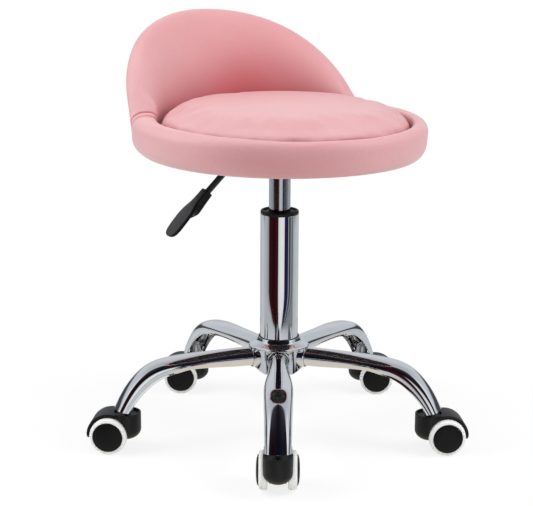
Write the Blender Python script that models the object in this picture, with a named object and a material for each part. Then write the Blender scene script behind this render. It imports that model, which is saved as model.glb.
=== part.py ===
"""Height-adjustable pedicure stool with a low back, on a five-arm chromed base.

All dimensions are millimetres and become metres when a mesh is made.  The
column axis is vertical, the floor is z = 0, the sitter faces -Y and the low
back is at +Y.  The origin is the middle of the footprint rectangle on the
floor, so the column axis stands at (COLUMN_X, COLUMN_Y).
"""

import math

import bmesh
import bpy
from mathutils import Vector

MM = 0.001
COLUMN_X, COLUMN_Y = 4.95, -26.0
SHARP_DEG = 35.0                   # edges steeper than this are shaded sharp
CUT_PAST = 5.0                     # how far a drill runs past the faces it cuts

# ---------------------------------------------------------------- dimensions
# Gas lift: the tube and rod stay with the base, the cylinder rises with the seat
TUBE_R, TUBE_BORE_R = 25.0, 22.6
TUBE_FOOT_R = 24.0                 # where it seats in the hub
TUBE_TAPER_Z = 124.0               # the taper to the foot starts here
TUBE_BOTTOM, TUBE_TOP = 92.0, 301.8
TUBE_FLOOR = 3.0
BUSHING_DEPTH = 78.0               # how far the guide reaches into the tube
CYL_R, CYL_BORE_R = 14.0, 12.0
CYL_BOTTOM, CYL_TOP = 157.0, 366.0
CYL_END = 6.0                      # thickness of the cylinder's closed ends
ROD_R, ROD_BOTTOM = 5.0, 86.4
ROD_COLLAR_R, ROD_COLLAR_BOTTOM, ROD_COLLAR_TOP = 8.5, 100.9, 103.6
GROOVE_R, GROOVE_BOTTOM, GROOVE_TOP = 3.9, 89.2, 91.2
CLIP_BORE_R, CLIP_R, CLIP_BOTTOM, CLIP_TOP = 4.3, 9.0, 89.6, 90.8
BEARING_R = 14.0
PISTON_R, PISTON_BOTTOM, PISTON_TOP = 11.7, 236.0, 246.0
BUTTON_R, BUTTON_TOP = 3.75, 369.6
STEPS_COLUMN = 24

# Base
ARM_COUNT = 5
ARM_PITCH = 360.0 / ARM_COUNT
FIRST_ARM_DEG = 239.0              # heading of arm 1, from +X towards +Y
STEM_CIRCLE_R = 206.0              # caster stems stand on this circle
SOCKET_R, SOCKET_BORE_R = 7.8, 5.7
SOCKET_BOTTOM, SOCKET_TOP = 56.6, 69.0
ARM_WALL = 1.6
ARM_ROOT_R = 28.6                  # the arms butt on the hub's sleeve here
ARM_ROOT_Z = 111.0
ARM_ROOT_HALF = 12.8
HUB_SLEEVE_R, HUB_BORE_R = 28.2, 25.35
HUB_TOP, HUB_BOTTOM = 136.5, 89.0
SLEEVE_BOTTOM = HUB_BOTTOM + 2.0
HUB_LOBE_R, HUB_LOBE_DEPTH = 39.5, 2.6
SKIRT_R, SKIRT_LOBE_DEPTH, SKIRT_WALL = 36.5, 0.8, 2.6
LOBE_CREST_Z = 126.0
HUB_STEPS = 30

# Casters
CASTER_HEADING = (59.0, -26.0, -31.0, 149.0, 144.0)  # where each one trails
TRAIL = 21.0
WHEEL_R = 24.0
TYRE_IN, TYRE_OUT = 12.9, 23.4     # from the caster's middle plane
CAP_R, CAP_OUT = 19.0, 26.9
AXLE_R, AXLE_HALF = 3.0, 21.6
BARREL_R = 18.4
BARREL_BOTTOM, BARREL_TOP = 15.5, 52.0
BARREL_ROUND = 14.0                # height of the barrel's rounded lower end
BARREL_LIP = 2.6                   # rim left round the dish in the barrel's top
DISH_DEPTH = 2.5
FENDER_IN_R, FENDER_OUT_R = 26.0, 28.7
FENDER_HALF = 17.2
WHEEL_ROOM_IN = 12.2               # wheel recesses start here, from the middle plane
WHEEL_ROOM_R = WHEEL_R + 1.3
WEB_HALF = WHEEL_ROOM_IN - 1.9
STEM_R, STEM_BOTTOM = 5.5, 33.4
STEM_COLLAR_R, STEM_COLLAR_BOTTOM, STEM_COLLAR_TOP = 8.4, 53.6, 56.2
STEPS_WHEEL = 18

# Seat
SEAT_R = 187.0                     # outside of the bolster
CUSHION_FORWARD = 12.0             # cushion centre, from the column towards -Y
CUSHION_R = 158.5
BOLSTER_BORE_R = 160.2
BOLSTER_BOTTOM = 380.4
BOLSTER_CREST, BOLSTER_RISE = 422.5, 6.2  # height at the front, and its rise rearwards
SEAM_DEG, SEAM_GAP_DEG = 66.0, 0.15  # seam between bolster and back, from +Y
BACK_FOOT, BACK_RISE = 414.0, 136.3
BACK_SPREAD = 69.7                 # degrees where the back's outline would meet its foot
BACK_LEAN = 39.7                   # how far the back leans out over LEAN_HEIGHT
LEAN_FROM, LEAN_HEIGHT = 400.0, 150.0
TOP_ROUND = 14.0                   # height and half thickness of the back's top edge
BOLSTER_STEPS, BACK_STEPS = 23, 20
STEPS_SEAT = 36
BOARD_R = 159.2
BOARD_BOTTOM, BOARD_TOP = 385.9, 397.9
COVER_BOTTOM, COVER_TOP = 384.8, 385.6
PLATE_BOTTOM, PLATE_TOP = 381.5, 384.5
PLATE_HALF, PLATE_CORNER = 60.0, 12.0
BOSS_R, BOSS_BOTTOM = 25.0, 355.0
SCREW_AT = 46.0
SCREW_HOLE_R = 2.9
SCREWS = [(sx * SCREW_AT, sy * SCREW_AT) for sx, sy in ((1, 1), (-1, 1), (-1, -1), (1, -1))]

# Lever: its hinge axis runs along Y through LEVER_ORIGIN
LEVER_R = 4.0
LEVER_Z = 374.0                    # the rod where it passes the boss
LEVER_SLOT_HALF = LEVER_R + 1.2
LEVER_ORIGIN = Vector((-20.0, 0, LEVER_Z))
ROD_IN_GRIP = 26.0
LEVER_SIDES = 12
SIDEWAYS = Vector((0, 1, 0))
GRIP_TOP = Vector((-105.2, 0.0, 339.8))
GRIP_TIP = Vector((-159.5, 0.0, 289.2))
GRIP_DIR = (GRIP_TIP - GRIP_TOP).normalized()
# The grip's line meets the rod's level line here.
BEND = GRIP_TOP - GRIP_DIR * (LEVER_Z - GRIP_TOP.z) / abs(GRIP_DIR.z)
BEND_REACH = 9.0                   # the curve starts and ends this far from BEND

# ---------------------------------------------------------------- tables
# Each arm is a folded channel.  Its edges meet underneath near the hub and
# spread into an open channel over the caster.  Columns: top line (r, z), lower
# line (r, z), width, angle of the fold's edges below the section's middle.
ARM_LINE = [
    (ARM_ROOT_R, 123.8, ARM_ROOT_R, 98.2, 25.6, 87.4),
    (62.0, 123.6, 62.0, 99.0, 26.0, 87.4),
    (95.0, 122.6, 94.0, 101.0, 29.5, 86.5),
    (124.0, 121.2, 121.0, 102.4, 34.5, 70.0),
    (148.0, 118.8, 140.0, 102.6, 36.2, 40.0),
    (166.0, 115.4, 154.0, 100.4, 35.6, 26.0),
    (180.0, 109.6, 166.5, 95.0, 34.4, 22.0),
    (192.5, 99.8, 177.8, 87.4, 33.2, 21.0),
    (204.0, 86.6, 188.6, 77.4, 32.2, 20.0),
    (213.5, 71.6, 198.6, 65.6, 31.5, 20.0),
    (220.6, 57.6, 206.4, 53.9, 31.0, 20.0),
]
ARM_STATIONS, ARM_POINTS = 11, 8

# Grip rows: distance along, half width, top, underside of the flat paddle, half
# width of the keel, and the keel's bottom, all measured from the rod's line.
GRIP_ROWS = [
    (0.0, 5.4, 5.4, 2.4, 5.3, -5.4), (1.0, 6.1, 6.0, 2.8, 6.0, -6.0),
    (10.0, 6.3, 6.0, 2.8, 6.1, -6.8), (18.0, 6.9, 5.9, 2.5, 6.1, -7.8),
    (24.0, 8.3, 5.8, 2.2, 6.0, -8.6), (28.5, 10.2, 5.6, 1.8, 5.9, -8.9),
    (33.0, 12.0, 5.4, 1.4, 5.5, -7.6), (38.0, 13.0, 5.2, 1.0, 5.0, -5.4),
    (43.0, 13.4, 5.0, 0.6, 4.4, -3.2), (48.0, 13.5, 4.7, 0.3, 3.6, -1.6),
    (56.0, 13.3, 4.1, -0.4, 3.0, -1.3), (63.0, 12.8, 3.5, -0.9, 2.6, -1.6),
    (68.5, 11.4, 3.0, -1.1, 2.4, -1.6), (72.0, 8.8, 2.6, -0.9, 2.0, -1.3),
    (74.2, 4.8, 2.2, -0.2, 1.2, -0.5),
]

# Domed half outline of the cushion: (radius, z)
CUSHION_PROFILE = [
    (0, 449.8), (60, 448.6), (110, 445.2), (130, 442.0), (145, 437.2), (153, 433.0),
    (157.2, 427.0), (CUSHION_R, 419.0), (CUSHION_R, BOARD_TOP + 0.3), (0, BOARD_TOP + 0.3),
]


# ---------------------------------------------------------------- materials
def material(name, colour, roughness, metallic=0.0):
    mat = bpy.data.materials.new(name)
    mat.use_nodes = True
    bsdf = mat.node_tree.nodes["Principled BSDF"]
    bsdf.inputs["Base Color"].default_value = (*colour, 1.0)
    bsdf.inputs["Roughness"].default_value = roughness
    bsdf.inputs["Metallic"].default_value = metallic
    mat.diffuse_color = (*colour, 1.0)
    return mat


LEATHER = material("pink_leatherette", colour=(0.78, 0.36, 0.38), roughness=0.42)
CHROME = material("polished_chrome", colour=(0.78, 0.79, 0.80), roughness=0.06, metallic=1.0)
STEEL = material("ground_steel", colour=(0.55, 0.56, 0.57), roughness=0.3, metallic=1.0)
BLACK_PLASTIC = material("black_nylon", colour=(0.014, 0.014, 0.015), roughness=0.36)
BLACK_PAINT = material("black_paint", colour=(0.02, 0.02, 0.02), roughness=0.4)
WHITE_TYRE = material("white_polyurethane", colour=(0.78, 0.79, 0.76), roughness=0.45)
PLYWOOD = material("plywood", colour=(0.55, 0.38, 0.22), roughness=0.7)
FLEECE = material("black_nonwoven", colour=(0.02, 0.02, 0.02), roughness=0.95)
ZINC = material("zinc_screw", colour=(0.6, 0.6, 0.58), roughness=0.35, metallic=1.0)


# ---------------------------------------------------------------- curves
def blend(a, b, t):
    """From a to b, with t held between 0 and 1."""
    t = min(1.0, max(0.0, t))
    return a + (b - a) * t


def smooth_step(t):
    t = min(1.0, max(0.0, t))
    return t * t * (3 - 2 * t)


def through(points, t):
    """Catmull-Rom curve through rows of numbers, t from 0 to 1."""
    last = len(points) - 1
    x = min(max(t, 0.0), 1.0) * last
    i = min(int(x), last - 1)
    u = x - i
    near = [points[min(max(i + k, 0), last)] for k in (-1, 0, 1, 2)]
    return [
        0.5 * (2 * b + (c - a) * u + (2 * a - 5 * b + 4 * c - d) * u * u
               + (3 * b - a - 3 * c + d) * u ** 3)
        for a, b, c, d in zip(*near)
    ]


# ---------------------------------------------------------------- shapes
def turned(profile, steps, closed=False):
    """A bmesh turned about Z from (radius, z) points; closed joins last to first."""
    bm = bmesh.new()
    verts = [bm.verts.new((r * MM, 0.0, z * MM)) for r, z in profile]
    edges = [bm.edges.new(pair) for pair in zip(verts, verts[1:])]
    if closed:
        edges.append(bm.edges.new((verts[-1], verts[0])))
    bmesh.ops.spin(
        bm, geom=verts + edges, cent=(0, 0, 0), axis=(0, 0, 1), dvec=(0, 0, 0),
        angle=2 * math.pi, steps=steps, use_merge=True, use_duplicate=False,
    )
    bmesh.ops.remove_doubles(bm, verts=bm.verts, dist=1e-7)
    return bm


def cylinder(radius, low, high, steps):
    return turned([(0, high), (radius, high), (radius, low), (0, low)], steps)


def sleeve(bore, radius, low, high, steps):
    return turned([(bore, high), (radius, high), (radius, low), (bore, low)], steps, closed=True)


def lofted(rings, loop=False):
    """Bridges closed rings of equal count; the two ends are capped unless it loops."""
    bm = bmesh.new()
    rows = [[bm.verts.new(Vector(p) * MM) for p in ring] for ring in rings]
    pairs = list(zip(rows, rows[1:])) + ([(rows[-1], rows[0])] if loop else [])
    for a, b in pairs:
        for i in range(len(a)):
            j = (i + 1) % len(a)
            bm.faces.new((a[i], a[j], b[j], b[i]))
    if not loop:
        bm.faces.new(list(reversed(rows[0])))
        bm.faces.new(rows[-1])
    return bm


def box(low, high, corner=0.0):
    """A box between two corners; corner rounds its upright edges."""
    bm = bmesh.new()
    bmesh.ops.create_cube(bm, size=1.0)
    low, high = Vector(low) * MM, Vector(high) * MM
    for v in bm.verts:
        v.co = Vector((low[i] + (v.co[i] + 0.5) * (high[i] - low[i])) for i in range(3))
    if corner:
        upright = [e for e in bm.edges if abs(e.verts[0].co.z - e.verts[1].co.z) > 1e-6]
        bmesh.ops.bevel(
            bm, geom=upright, offset=corner * MM, segments=3, affect="EDGES",
            profile=0.5, clamp_overlap=True,
        )
    return bm


# ---------------------------------------------------------------- objects
def place(name, data, parent=None, location=(0, 0, 0), rotation=(0, 0, 0)):
    """Adds an object; location is in millimetres and rotation in degrees."""
    obj = bpy.data.objects.new(name, data)
    bpy.context.scene.collection.objects.link(obj)
    obj.parent = parent
    obj.location = Vector(location) * MM
    obj.rotation_euler = [math.radians(a) for a in rotation]
    return obj


def empty(name, parent=None, location=(0, 0, 0), rotation=(0, 0, 0)):
    """A guide object at a joint axis."""
    obj = place(name, None, parent, location, rotation)
    obj.empty_display_size = 0.02
    return obj


def shade(mesh, sharp):
    mesh.shade_smooth()
    mesh.set_sharp_from_angle(angle=math.radians(sharp))


def finish(bm, name, mat, sharp=SHARP_DEG):
    """Cleans a bmesh and turns it into a mesh; sharp=None leaves it unshaded."""
    bmesh.ops.remove_doubles(bm, verts=bm.verts, dist=1e-7)
    bmesh.ops.dissolve_degenerate(bm, edges=bm.edges, dist=1e-8)
    bmesh.ops.recalc_face_normals(bm, faces=bm.faces)
    mesh = bpy.data.meshes.new(name)
    bm.to_mesh(mesh)
    bm.free()
    if sharp is not None:
        shade(mesh, sharp)
    mesh.materials.append(mat)
    return mesh


def piece(bm, name, mat, parent=None, location=(0, 0, 0), sharp=SHARP_DEG):
    return place(name, finish(bm, name, mat, sharp), parent, location)


def helper(bm, name, parent=None, location=(0, 0, 0), rotation=(0, 0, 0)):
    """A shape that combine() adds or cuts away and then removes."""
    obj = place(name, finish(bm, name, STEEL, sharp=None), parent, location, rotation)
    obj.hide_render = True
    return obj


def combine(obj, add=(), cut=()):
    """Joins and then cuts helpers, and keeps the result as the object's mesh."""
    steps = [("UNION", other) for other in add] + [("DIFFERENCE", other) for other in cut]
    for operation, other in steps:
        mod = obj.modifiers.new(operation.lower(), "BOOLEAN")
        mod.operation = operation
        mod.object = other
        mod.solver = "EXACT"
    bpy.context.view_layer.update()
    graph = bpy.context.evaluated_depsgraph_get()
    mesh = bpy.data.meshes.new_from_object(obj.evaluated_get(graph))
    mesh.name = obj.name
    obj.modifiers.clear()
    obj.data = mesh
    shade(mesh, SHARP_DEG)
    for _, other in steps:
        bpy.data.objects.remove(other, do_unlink=True)


# ---------------------------------------------------------------- base
def arm_heading(k):
    return FIRST_ARM_DEG + ARM_PITCH * k


def lobed_radius(angle_deg, crest, depth):
    """Radius of a five-lobed edge, largest over each arm."""
    wave = math.cos(math.radians(ARM_COUNT * (angle_deg - FIRST_ARM_DEG)))
    return blend(crest - depth, crest, 0.5 + 0.5 * wave)


def hub_ring(angle_deg):
    """Hub section: sleeve, dished collar and the skirt hanging below the lobes."""
    lobe = lobed_radius(angle_deg, HUB_LOBE_R, HUB_LOBE_DEPTH)
    skirt = lobed_radius(angle_deg, SKIRT_R, SKIRT_LOBE_DEPTH)
    section = [
        (HUB_BORE_R, HUB_TOP), (26.8, HUB_TOP), (28.2, 131.6),
        (lobe - 1.6, LOBE_CREST_Z + 1.4), (lobe, LOBE_CREST_Z - 1.0),
        (skirt, LOBE_CREST_Z - 4.6), (skirt, HUB_BOTTOM), (skirt - SKIRT_WALL, HUB_BOTTOM),
        (skirt - SKIRT_WALL, 121.0), (HUB_SLEEVE_R, 124.6),
        (HUB_SLEEVE_R, SLEEVE_BOTTOM), (HUB_BORE_R, SLEEVE_BOTTOM),
    ]
    c, s = math.cos(math.radians(angle_deg)), math.sin(math.radians(angle_deg))
    return [(r * c, r * s, z) for r, z in section]


def build_hub(base):
    """Pressed star round the tube, with an opening in the skirt for each arm."""
    rings = [hub_ring(360.0 * i / HUB_STEPS + FIRST_ARM_DEG) for i in range(HUB_STEPS)]
    hub = piece(lofted(rings, loop=True), "base_hub", CHROME, base)
    openings = [
        helper(
            cylinder(ARM_ROOT_HALF + 0.5, low=28.45, high=60, steps=12),
            "arm_opening", base, (0, 0, ARM_ROOT_Z), (0, 90, arm_heading(k)),
        )
        for k in range(ARM_COUNT)
    ]
    combine(hub, cut=openings)


def arm_section(t):
    """Closed ring of the folded channel at t along the arm, outer then inner face."""
    top_r, top_z, low_r, low_z, width, fold = through(ARM_LINE, t)
    up = Vector((top_r - low_r, 0, top_z - low_z))
    height = up.length
    up.normalize()
    # Superellipse power: squarer where the fold is open.
    power = 2.0 / blend(2.0, 2.5, (87.0 - fold) / 60.0)
    edge = math.radians(fold)
    half_height = height / (1 + math.sin(edge) ** power)
    centre = Vector((top_r, 0, top_z)) - up * half_height

    def face(inset):
        row = []
        for i in range(ARM_POINTS):
            angle = -edge + (math.pi + 2 * edge) * i / (ARM_POINTS - 1)
            c, s = math.cos(angle), math.sin(angle)
            across = math.copysign(abs(c) ** power, c) * (width / 2 - inset)
            rise = math.copysign(abs(s) ** power, s) * (half_height - inset)
            row.append(centre + up * rise + Vector((0, across, 0)))
        return row

    return face(0.0) + face(ARM_WALL)[::-1]


def build_arms(base):
    """Arm 1 with its stem socket, and four copies sharing its mesh."""
    rings = [arm_section(i / (ARM_STATIONS - 1)) for i in range(ARM_STATIONS)]
    arm = piece(lofted(rings), "base_arm_1", CHROME, base)
    socket = helper(
        sleeve(SOCKET_BORE_R, SOCKET_R, SOCKET_BOTTOM, SOCKET_TOP, 12),
        "socket", base, (STEM_CIRCLE_R, 0, 0),
    )
    # Small block between the socket and the arm's outer end
    gusset = helper(
        box((STEM_CIRCLE_R + 6.6, -4.0, 59.5), (STEM_CIRCLE_R + 10.4, 4.0, 64.5)),
        "gusset", base,
    )
    combine(arm, add=[socket, gusset])
    arm.rotation_euler.z = math.radians(arm_heading(0))
    for k in range(1, ARM_COUNT):
        place(f"base_arm_{k + 1}", arm.data, base, rotation=(0, 0, arm_heading(k)))


# ---------------------------------------------------------------- gas lift
def build_tube(base):
    """Outer tube with a tapered foot and a floor, and the guide in its mouth."""
    profile = [
        (TUBE_BORE_R, TUBE_TOP), (TUBE_R - 0.5, TUBE_TOP), (TUBE_R, TUBE_TOP - 0.8),
        (TUBE_R, TUBE_TAPER_Z), (TUBE_FOOT_R, TUBE_BOTTOM), (ROD_R + 0.5, TUBE_BOTTOM),
        (ROD_R + 0.5, TUBE_BOTTOM + TUBE_FLOOR), (TUBE_BORE_R - 1.0, TUBE_BOTTOM + TUBE_FLOOR),
        (TUBE_BORE_R, TUBE_TAPER_Z),
    ]
    piece(turned(profile, STEPS_COLUMN, closed=True), "outer_tube", CHROME, base)

    bore, outside = CYL_R + 0.35, TUBE_BORE_R - 0.3
    profile = [
        (bore, TUBE_TOP + 3.6), (20.5, TUBE_TOP + 4.0), (TUBE_R - 1.6, TUBE_TOP + 3.0),
        (TUBE_R - 0.8, TUBE_TOP + 0.3), (outside, TUBE_TOP + 0.3),
        (outside, TUBE_TOP - BUSHING_DEPTH), (bore, TUBE_TOP - BUSHING_DEPTH),
    ]
    piece(turned(profile, STEPS_COLUMN, closed=True), "guide_bushing", BLACK_PLASTIC, base)


def build_piston_rod(base):
    """Rod with piston, collar and clip groove, its bearing and retaining clip."""
    bearing = sleeve(ROD_R + 0.4, BEARING_R, TUBE_BOTTOM + 3.3, TUBE_BOTTOM + 8.6, 16)
    piece(bearing, "thrust_bearing", STEEL, base)
    profile = [
        (0, PISTON_TOP), (PISTON_R, PISTON_TOP), (PISTON_R, PISTON_BOTTOM),
        (ROD_R, PISTON_BOTTOM), (ROD_R, ROD_COLLAR_TOP), (ROD_COLLAR_R, ROD_COLLAR_TOP),
        (ROD_COLLAR_R, ROD_COLLAR_BOTTOM), (ROD_R, ROD_COLLAR_BOTTOM),
        (ROD_R, GROOVE_TOP), (GROOVE_R, GROOVE_TOP),
        (GROOVE_R, GROOVE_BOTTOM), (ROD_R, GROOVE_BOTTOM),
        (ROD_R, ROD_BOTTOM), (0, ROD_BOTTOM),
    ]
    piece(turned(profile, 12), "piston_rod", STEEL, base)
    clip = sleeve(CLIP_BORE_R, CLIP_R, CLIP_BOTTOM, CLIP_TOP, 12)
    piece(clip, "retaining_clip", STEEL, base)


def build_gas_cylinder(seat):
    """Sliding cylinder, and the release button in its top."""
    button_hole, rod_hole = BUTTON_R + 0.3, ROD_R + 0.4
    profile = [
        (button_hole, CYL_TOP), (CYL_R - 1.5, CYL_TOP), (CYL_R, CYL_TOP - 2.0),
        (CYL_R, CYL_BOTTOM + 1.5), (CYL_R - 1.5, CYL_BOTTOM), (rod_hole, CYL_BOTTOM),
        (rod_hole, CYL_BOTTOM + CYL_END), (CYL_BORE_R, CYL_BOTTOM + CYL_END),
        (CYL_BORE_R, CYL_TOP - CYL_END), (button_hole, CYL_TOP - CYL_END),
    ]
    piece(turned(profile, STEPS_COLUMN, closed=True), "gas_cylinder", CHROME, seat)
    profile = [
        (0, BUTTON_TOP), (BUTTON_R - 0.5, BUTTON_TOP), (BUTTON_R, BUTTON_TOP - 0.6),
        (BUTTON_R, CYL_TOP - 8.0), (0, CYL_TOP - 8.0),
    ]
    piece(turned(profile, 12), "release_button", STEEL, seat)


# ---------------------------------------------------------------- seat frame
def drill(seat, radius, low, high, steps, at=(0, 0)):
    return helper(cylinder(radius, low, high, steps), "drill", seat, (*at, 0))


def screw_drills(seat, radius, low, high):
    return [drill(seat, radius, low - CUT_PAST, high + CUT_PAST, 8, at) for at in SCREWS]


def build_plate(seat):
    """Seat plate with a boss for the cylinder and a slot for the lever at -X."""
    plate = piece(
        box((-PLATE_HALF, -PLATE_HALF, PLATE_BOTTOM), (PLATE_HALF, PLATE_HALF, PLATE_TOP),
            PLATE_CORNER),
        "seat_plate", BLACK_PAINT, seat,
    )
    past_top = PLATE_TOP + CUT_PAST
    boss = drill(seat, BOSS_R, BOSS_BOTTOM, PLATE_BOTTOM + 1.0, STEPS_COLUMN)
    bore = drill(seat, CYL_R + 0.45, BOSS_BOTTOM - CUT_PAST, past_top, STEPS_COLUMN)
    chamber = drill(seat, 18.0, CYL_TOP - 1.0, past_top, STEPS_COLUMN)
    slot = helper(
        box((-40, -LEVER_R - 1.2, LEVER_Z - LEVER_R - 1.2),
            (0, LEVER_SLOT_HALF, LEVER_Z + LEVER_R + 1.2)),
        "lever_slot", seat,
    )
    holes = screw_drills(seat, SCREW_HOLE_R, PLATE_BOTTOM, PLATE_TOP)
    combine(plate, add=[boss], cut=[bore, chamber, slot, *holes])


def build_disc(seat, name, mat, low, high, opening_r, hole_r):
    """Round sheet under the cushion, with a middle opening and four screw holes."""
    disc = piece(
        cylinder(BOARD_R, low, high, STEPS_SEAT), name, mat, seat, (0, -CUSHION_FORWARD, 0),
    )
    opening = drill(seat, opening_r, low - CUT_PAST, high + CUT_PAST, 16)
    combine(disc, cut=[opening, *screw_drills(seat, hole_r, low, high)])


def build_screws(seat):
    shank_r, shank_top, head_top = 2.4, 396.4, PLATE_BOTTOM - 0.3
    profile = [
        (0, shank_top), (shank_r, shank_top), (shank_r, head_top), (5.4, head_top),
        (4.6, PLATE_BOTTOM - 3.0), (0, PLATE_BOTTOM - 3.6),
    ]
    for i, (x, y) in enumerate(SCREWS):
        piece(turned(profile, 8), f"seat_screw_{i + 1}", ZINC, seat, (x, y, 0))


# ---------------------------------------------------------------- lever
def rod_path():
    """Centre line of the lever rod, level through the boss and then bent down."""
    start, end = Vector((BEND.x + BEND_REACH, 0, LEVER_Z)), BEND + GRIP_DIR * BEND_REACH
    points = [Vector((4.0, 0, LEVER_Z)), start]
    for i in range(1, 5):
        t = i / 4
        points.append(start * (1 - t) ** 2 + BEND * 2 * t * (1 - t) + end * t * t)
    points.append(GRIP_TOP + GRIP_DIR * ROD_IN_GRIP)
    return points


def swept_rings(points, radius):
    """Round sections square to a path that lies in a plane of constant y."""
    rings = []
    for i, p in enumerate(points):
        along = (points[min(i + 1, len(points) - 1)] - points[max(i - 1, 0)]).normalized()
        up = SIDEWAYS.cross(along).normalized()
        rings.append([
            p + SIDEWAYS * radius * math.cos(a) + up * radius * math.sin(a)
            for a in (2 * math.pi * j / LEVER_SIDES for j in range(LEVER_SIDES))
        ])
    return rings


def grip_ring(along, half_width, top, under, keel, bottom):
    """T-shaped section of the grip: a flat top, thin edges and a keel below."""
    up = SIDEWAYS.cross(GRIP_DIR)
    centre = GRIP_TOP + GRIP_DIR * along
    edge = min(0.9, half_width * 0.3)
    if half_width - keel > 1.2:
        under_half = max(keel, half_width - edge * 1.2)
    else:
        under_half = half_width - 0.05
    half = [
        (half_width - edge, top), (half_width, top - edge), (half_width, under + edge * 0.6),
        (under_half, under), (keel, min(under - 0.1, bottom + 2.0)), (keel * 0.72, bottom),
    ]
    outline = half + [(-y, z) for y, z in reversed(half)]
    return [centre + SIDEWAYS * y + up * z for y, z in outline]


def lever_loft(rings):
    """Lofts rings given in the seat's frame into the lever's own frame."""
    return lofted([[p - LEVER_ORIGIN for p in ring] for ring in rings])


def build_lever(seat):
    lever = empty("lever", seat, LEVER_ORIGIN)
    piece(lever_loft(swept_rings(rod_path(), LEVER_R)), "lever_rod", BLACK_PAINT, lever)
    grip = piece(
        lever_loft([grip_ring(*row) for row in GRIP_ROWS]), "lever_grip", BLACK_PLASTIC, lever,
    )
    bore_line = [GRIP_TOP - GRIP_DIR * 6, GRIP_TOP + GRIP_DIR * (ROD_IN_GRIP + 0.4)]
    bore = helper(lever_loft(swept_rings(bore_line, LEVER_R + 0.3)), "grip_bore", lever)
    combine(grip, cut=[bore])


# ---------------------------------------------------------------- soft parts
# Angles phi are in degrees from +Y towards +X.
def bore_at(phi):
    """Distance from the column axis to the round opening for the cushion."""
    d = -CUSHION_FORWARD * math.cos(math.radians(phi))
    return d + math.sqrt(d * d - CUSHION_FORWARD ** 2 + BOLSTER_BORE_R ** 2)


def ridge_height(phi):
    """Top of the bolster and of the low back, softly merged."""
    off_back = abs((phi + 180.0) % 360.0 - 180.0)
    bolster = BOLSTER_CREST + BOLSTER_RISE * smooth_step((180.0 - off_back) / 100.0)
    arch = max(0.0, 1 - (off_back / BACK_SPREAD) ** 2.03) ** 0.87
    back = BACK_FOOT + BACK_RISE * arch
    softness = 5.0
    return bolster + softness * math.log1p(math.exp((back - bolster) / softness))


def outer_at(z):
    """Distance from the column axis to the rim's outside, which leans out."""
    lean = min(1.3, max(0.0, (z - LEAN_FROM) / LEAN_HEIGHT))
    return SEAT_R + BACK_LEAN * lean ** 1.52


def rim_section(phi):
    """(distance from column axis, z) round the upholstered rim at phi."""
    inner, top = bore_at(phi), ridge_height(phi)
    band = SEAT_R - inner
    # 0 on the low bolster, where the top spans the band; 1 on the back
    full = smooth_step(smooth_step((top - 440.0) / 80.0) * 6)
    high = top - TOP_ROUND
    tip_out = outer_at(high)
    thickness = 2 * blend(band / 2, TOP_ROUND, full)
    tip_in = tip_out - thickness
    crest = tip_in + thickness * blend(0.42, 0.5, full)
    corner = min(24.0, band - 1.5)
    low = BOLSTER_BOTTOM + 18.0
    points = [
        (inner, BOLSTER_BOTTOM + 1.0),
        (SEAT_R - corner, BOLSTER_BOTTOM),
        (SEAT_R - 0.5 * corner, BOLSTER_BOTTOM + 2.4),
        (SEAT_R - 0.13 * corner, BOLSTER_BOTTOM + 9.0),
        (SEAT_R, low),
    ]
    # Up the outside
    for i in range(1, 4):
        z = blend(low, high, i / 3)
        points.append((outer_at(z), z))
    # Over the rounded top
    for i in range(1, 5):
        a = math.pi * i / 4
        c = math.cos(a)
        reach = tip_out - crest if c > 0 else crest - tip_in
        points.append((crest + c * reach, high + TOP_ROUND * math.sin(a)))
    # Down the inside to the opening
    foot = min(425.0, high - 2.0)
    for i in range(1, 4):
        t = i / 3
        points.append((blend(tip_in, inner, t ** 0.7), blend(high, foot, t)))
    return points


def build_rim(seat, name, start, end, count):
    rings = []
    for i in range(count + 1):
        phi = blend(start, end, i / count)
        s, c = math.sin(math.radians(phi)), math.cos(math.radians(phi))
        rings.append([(r * s, r * c, z) for r, z in rim_section(phi)])
    piece(lofted(rings), name, LEATHER, seat, sharp=50)


def build_upholstery(seat):
    cushion = turned(CUSHION_PROFILE, STEPS_SEAT)
    piece(cushion, "seat_cushion", LEATHER, seat, (0, -CUSHION_FORWARD, 0))
    seam = SEAM_DEG + SEAM_GAP_DEG
    build_rim(seat, "seat_ring", seam, 360 - seam, BOLSTER_STEPS)
    build_rim(seat, "backrest", -SEAM_DEG, SEAM_DEG, BACK_STEPS)


# ---------------------------------------------------------------- casters
# In a caster's own frame the stem is on Z and it trails along +X.
def around_axle(radius, degrees, y):
    """A point at a radius from the axle, degrees from +X towards +Z."""
    a = math.radians(degrees)
    return (TRAIL + radius * math.cos(a), y, WHEEL_R + radius * math.sin(a))


def barrel():
    """Solid barrel round the stem, with a rounded lower end."""
    rounded = [
        (BARREL_R * math.cos(math.radians(a)),
         BARREL_BOTTOM + BARREL_ROUND * (1 - math.sin(math.radians(a))))
        for a in (22, 44, 66)
    ]
    return turned(
        [(0, BARREL_TOP), (BARREL_R, BARREL_TOP), (BARREL_R, BARREL_BOTTOM + BARREL_ROUND),
         *rounded, (0, BARREL_BOTTOM)],
        18,
    )


def fender():
    """Arc over the wheels from the barrel's top to the narrower trailing tip."""
    widths = (1.0,) * 6 + (0.93, 0.8)
    rings = []
    for i, width in enumerate(widths):
        angle = blend(122.0, -8.0, i / (len(widths) - 1))
        half = FENDER_HALF * width
        section = (
            (FENDER_IN_R, -half), (FENDER_OUT_R - 1.2, -half), (FENDER_OUT_R, -half + 2.4),
            (FENDER_OUT_R, half - 2.4), (FENDER_OUT_R - 1.2, half), (FENDER_IN_R, half),
        )
        rings.append([around_axle(r, angle, y) for r, y in section])
    return lofted(rings)


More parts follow.
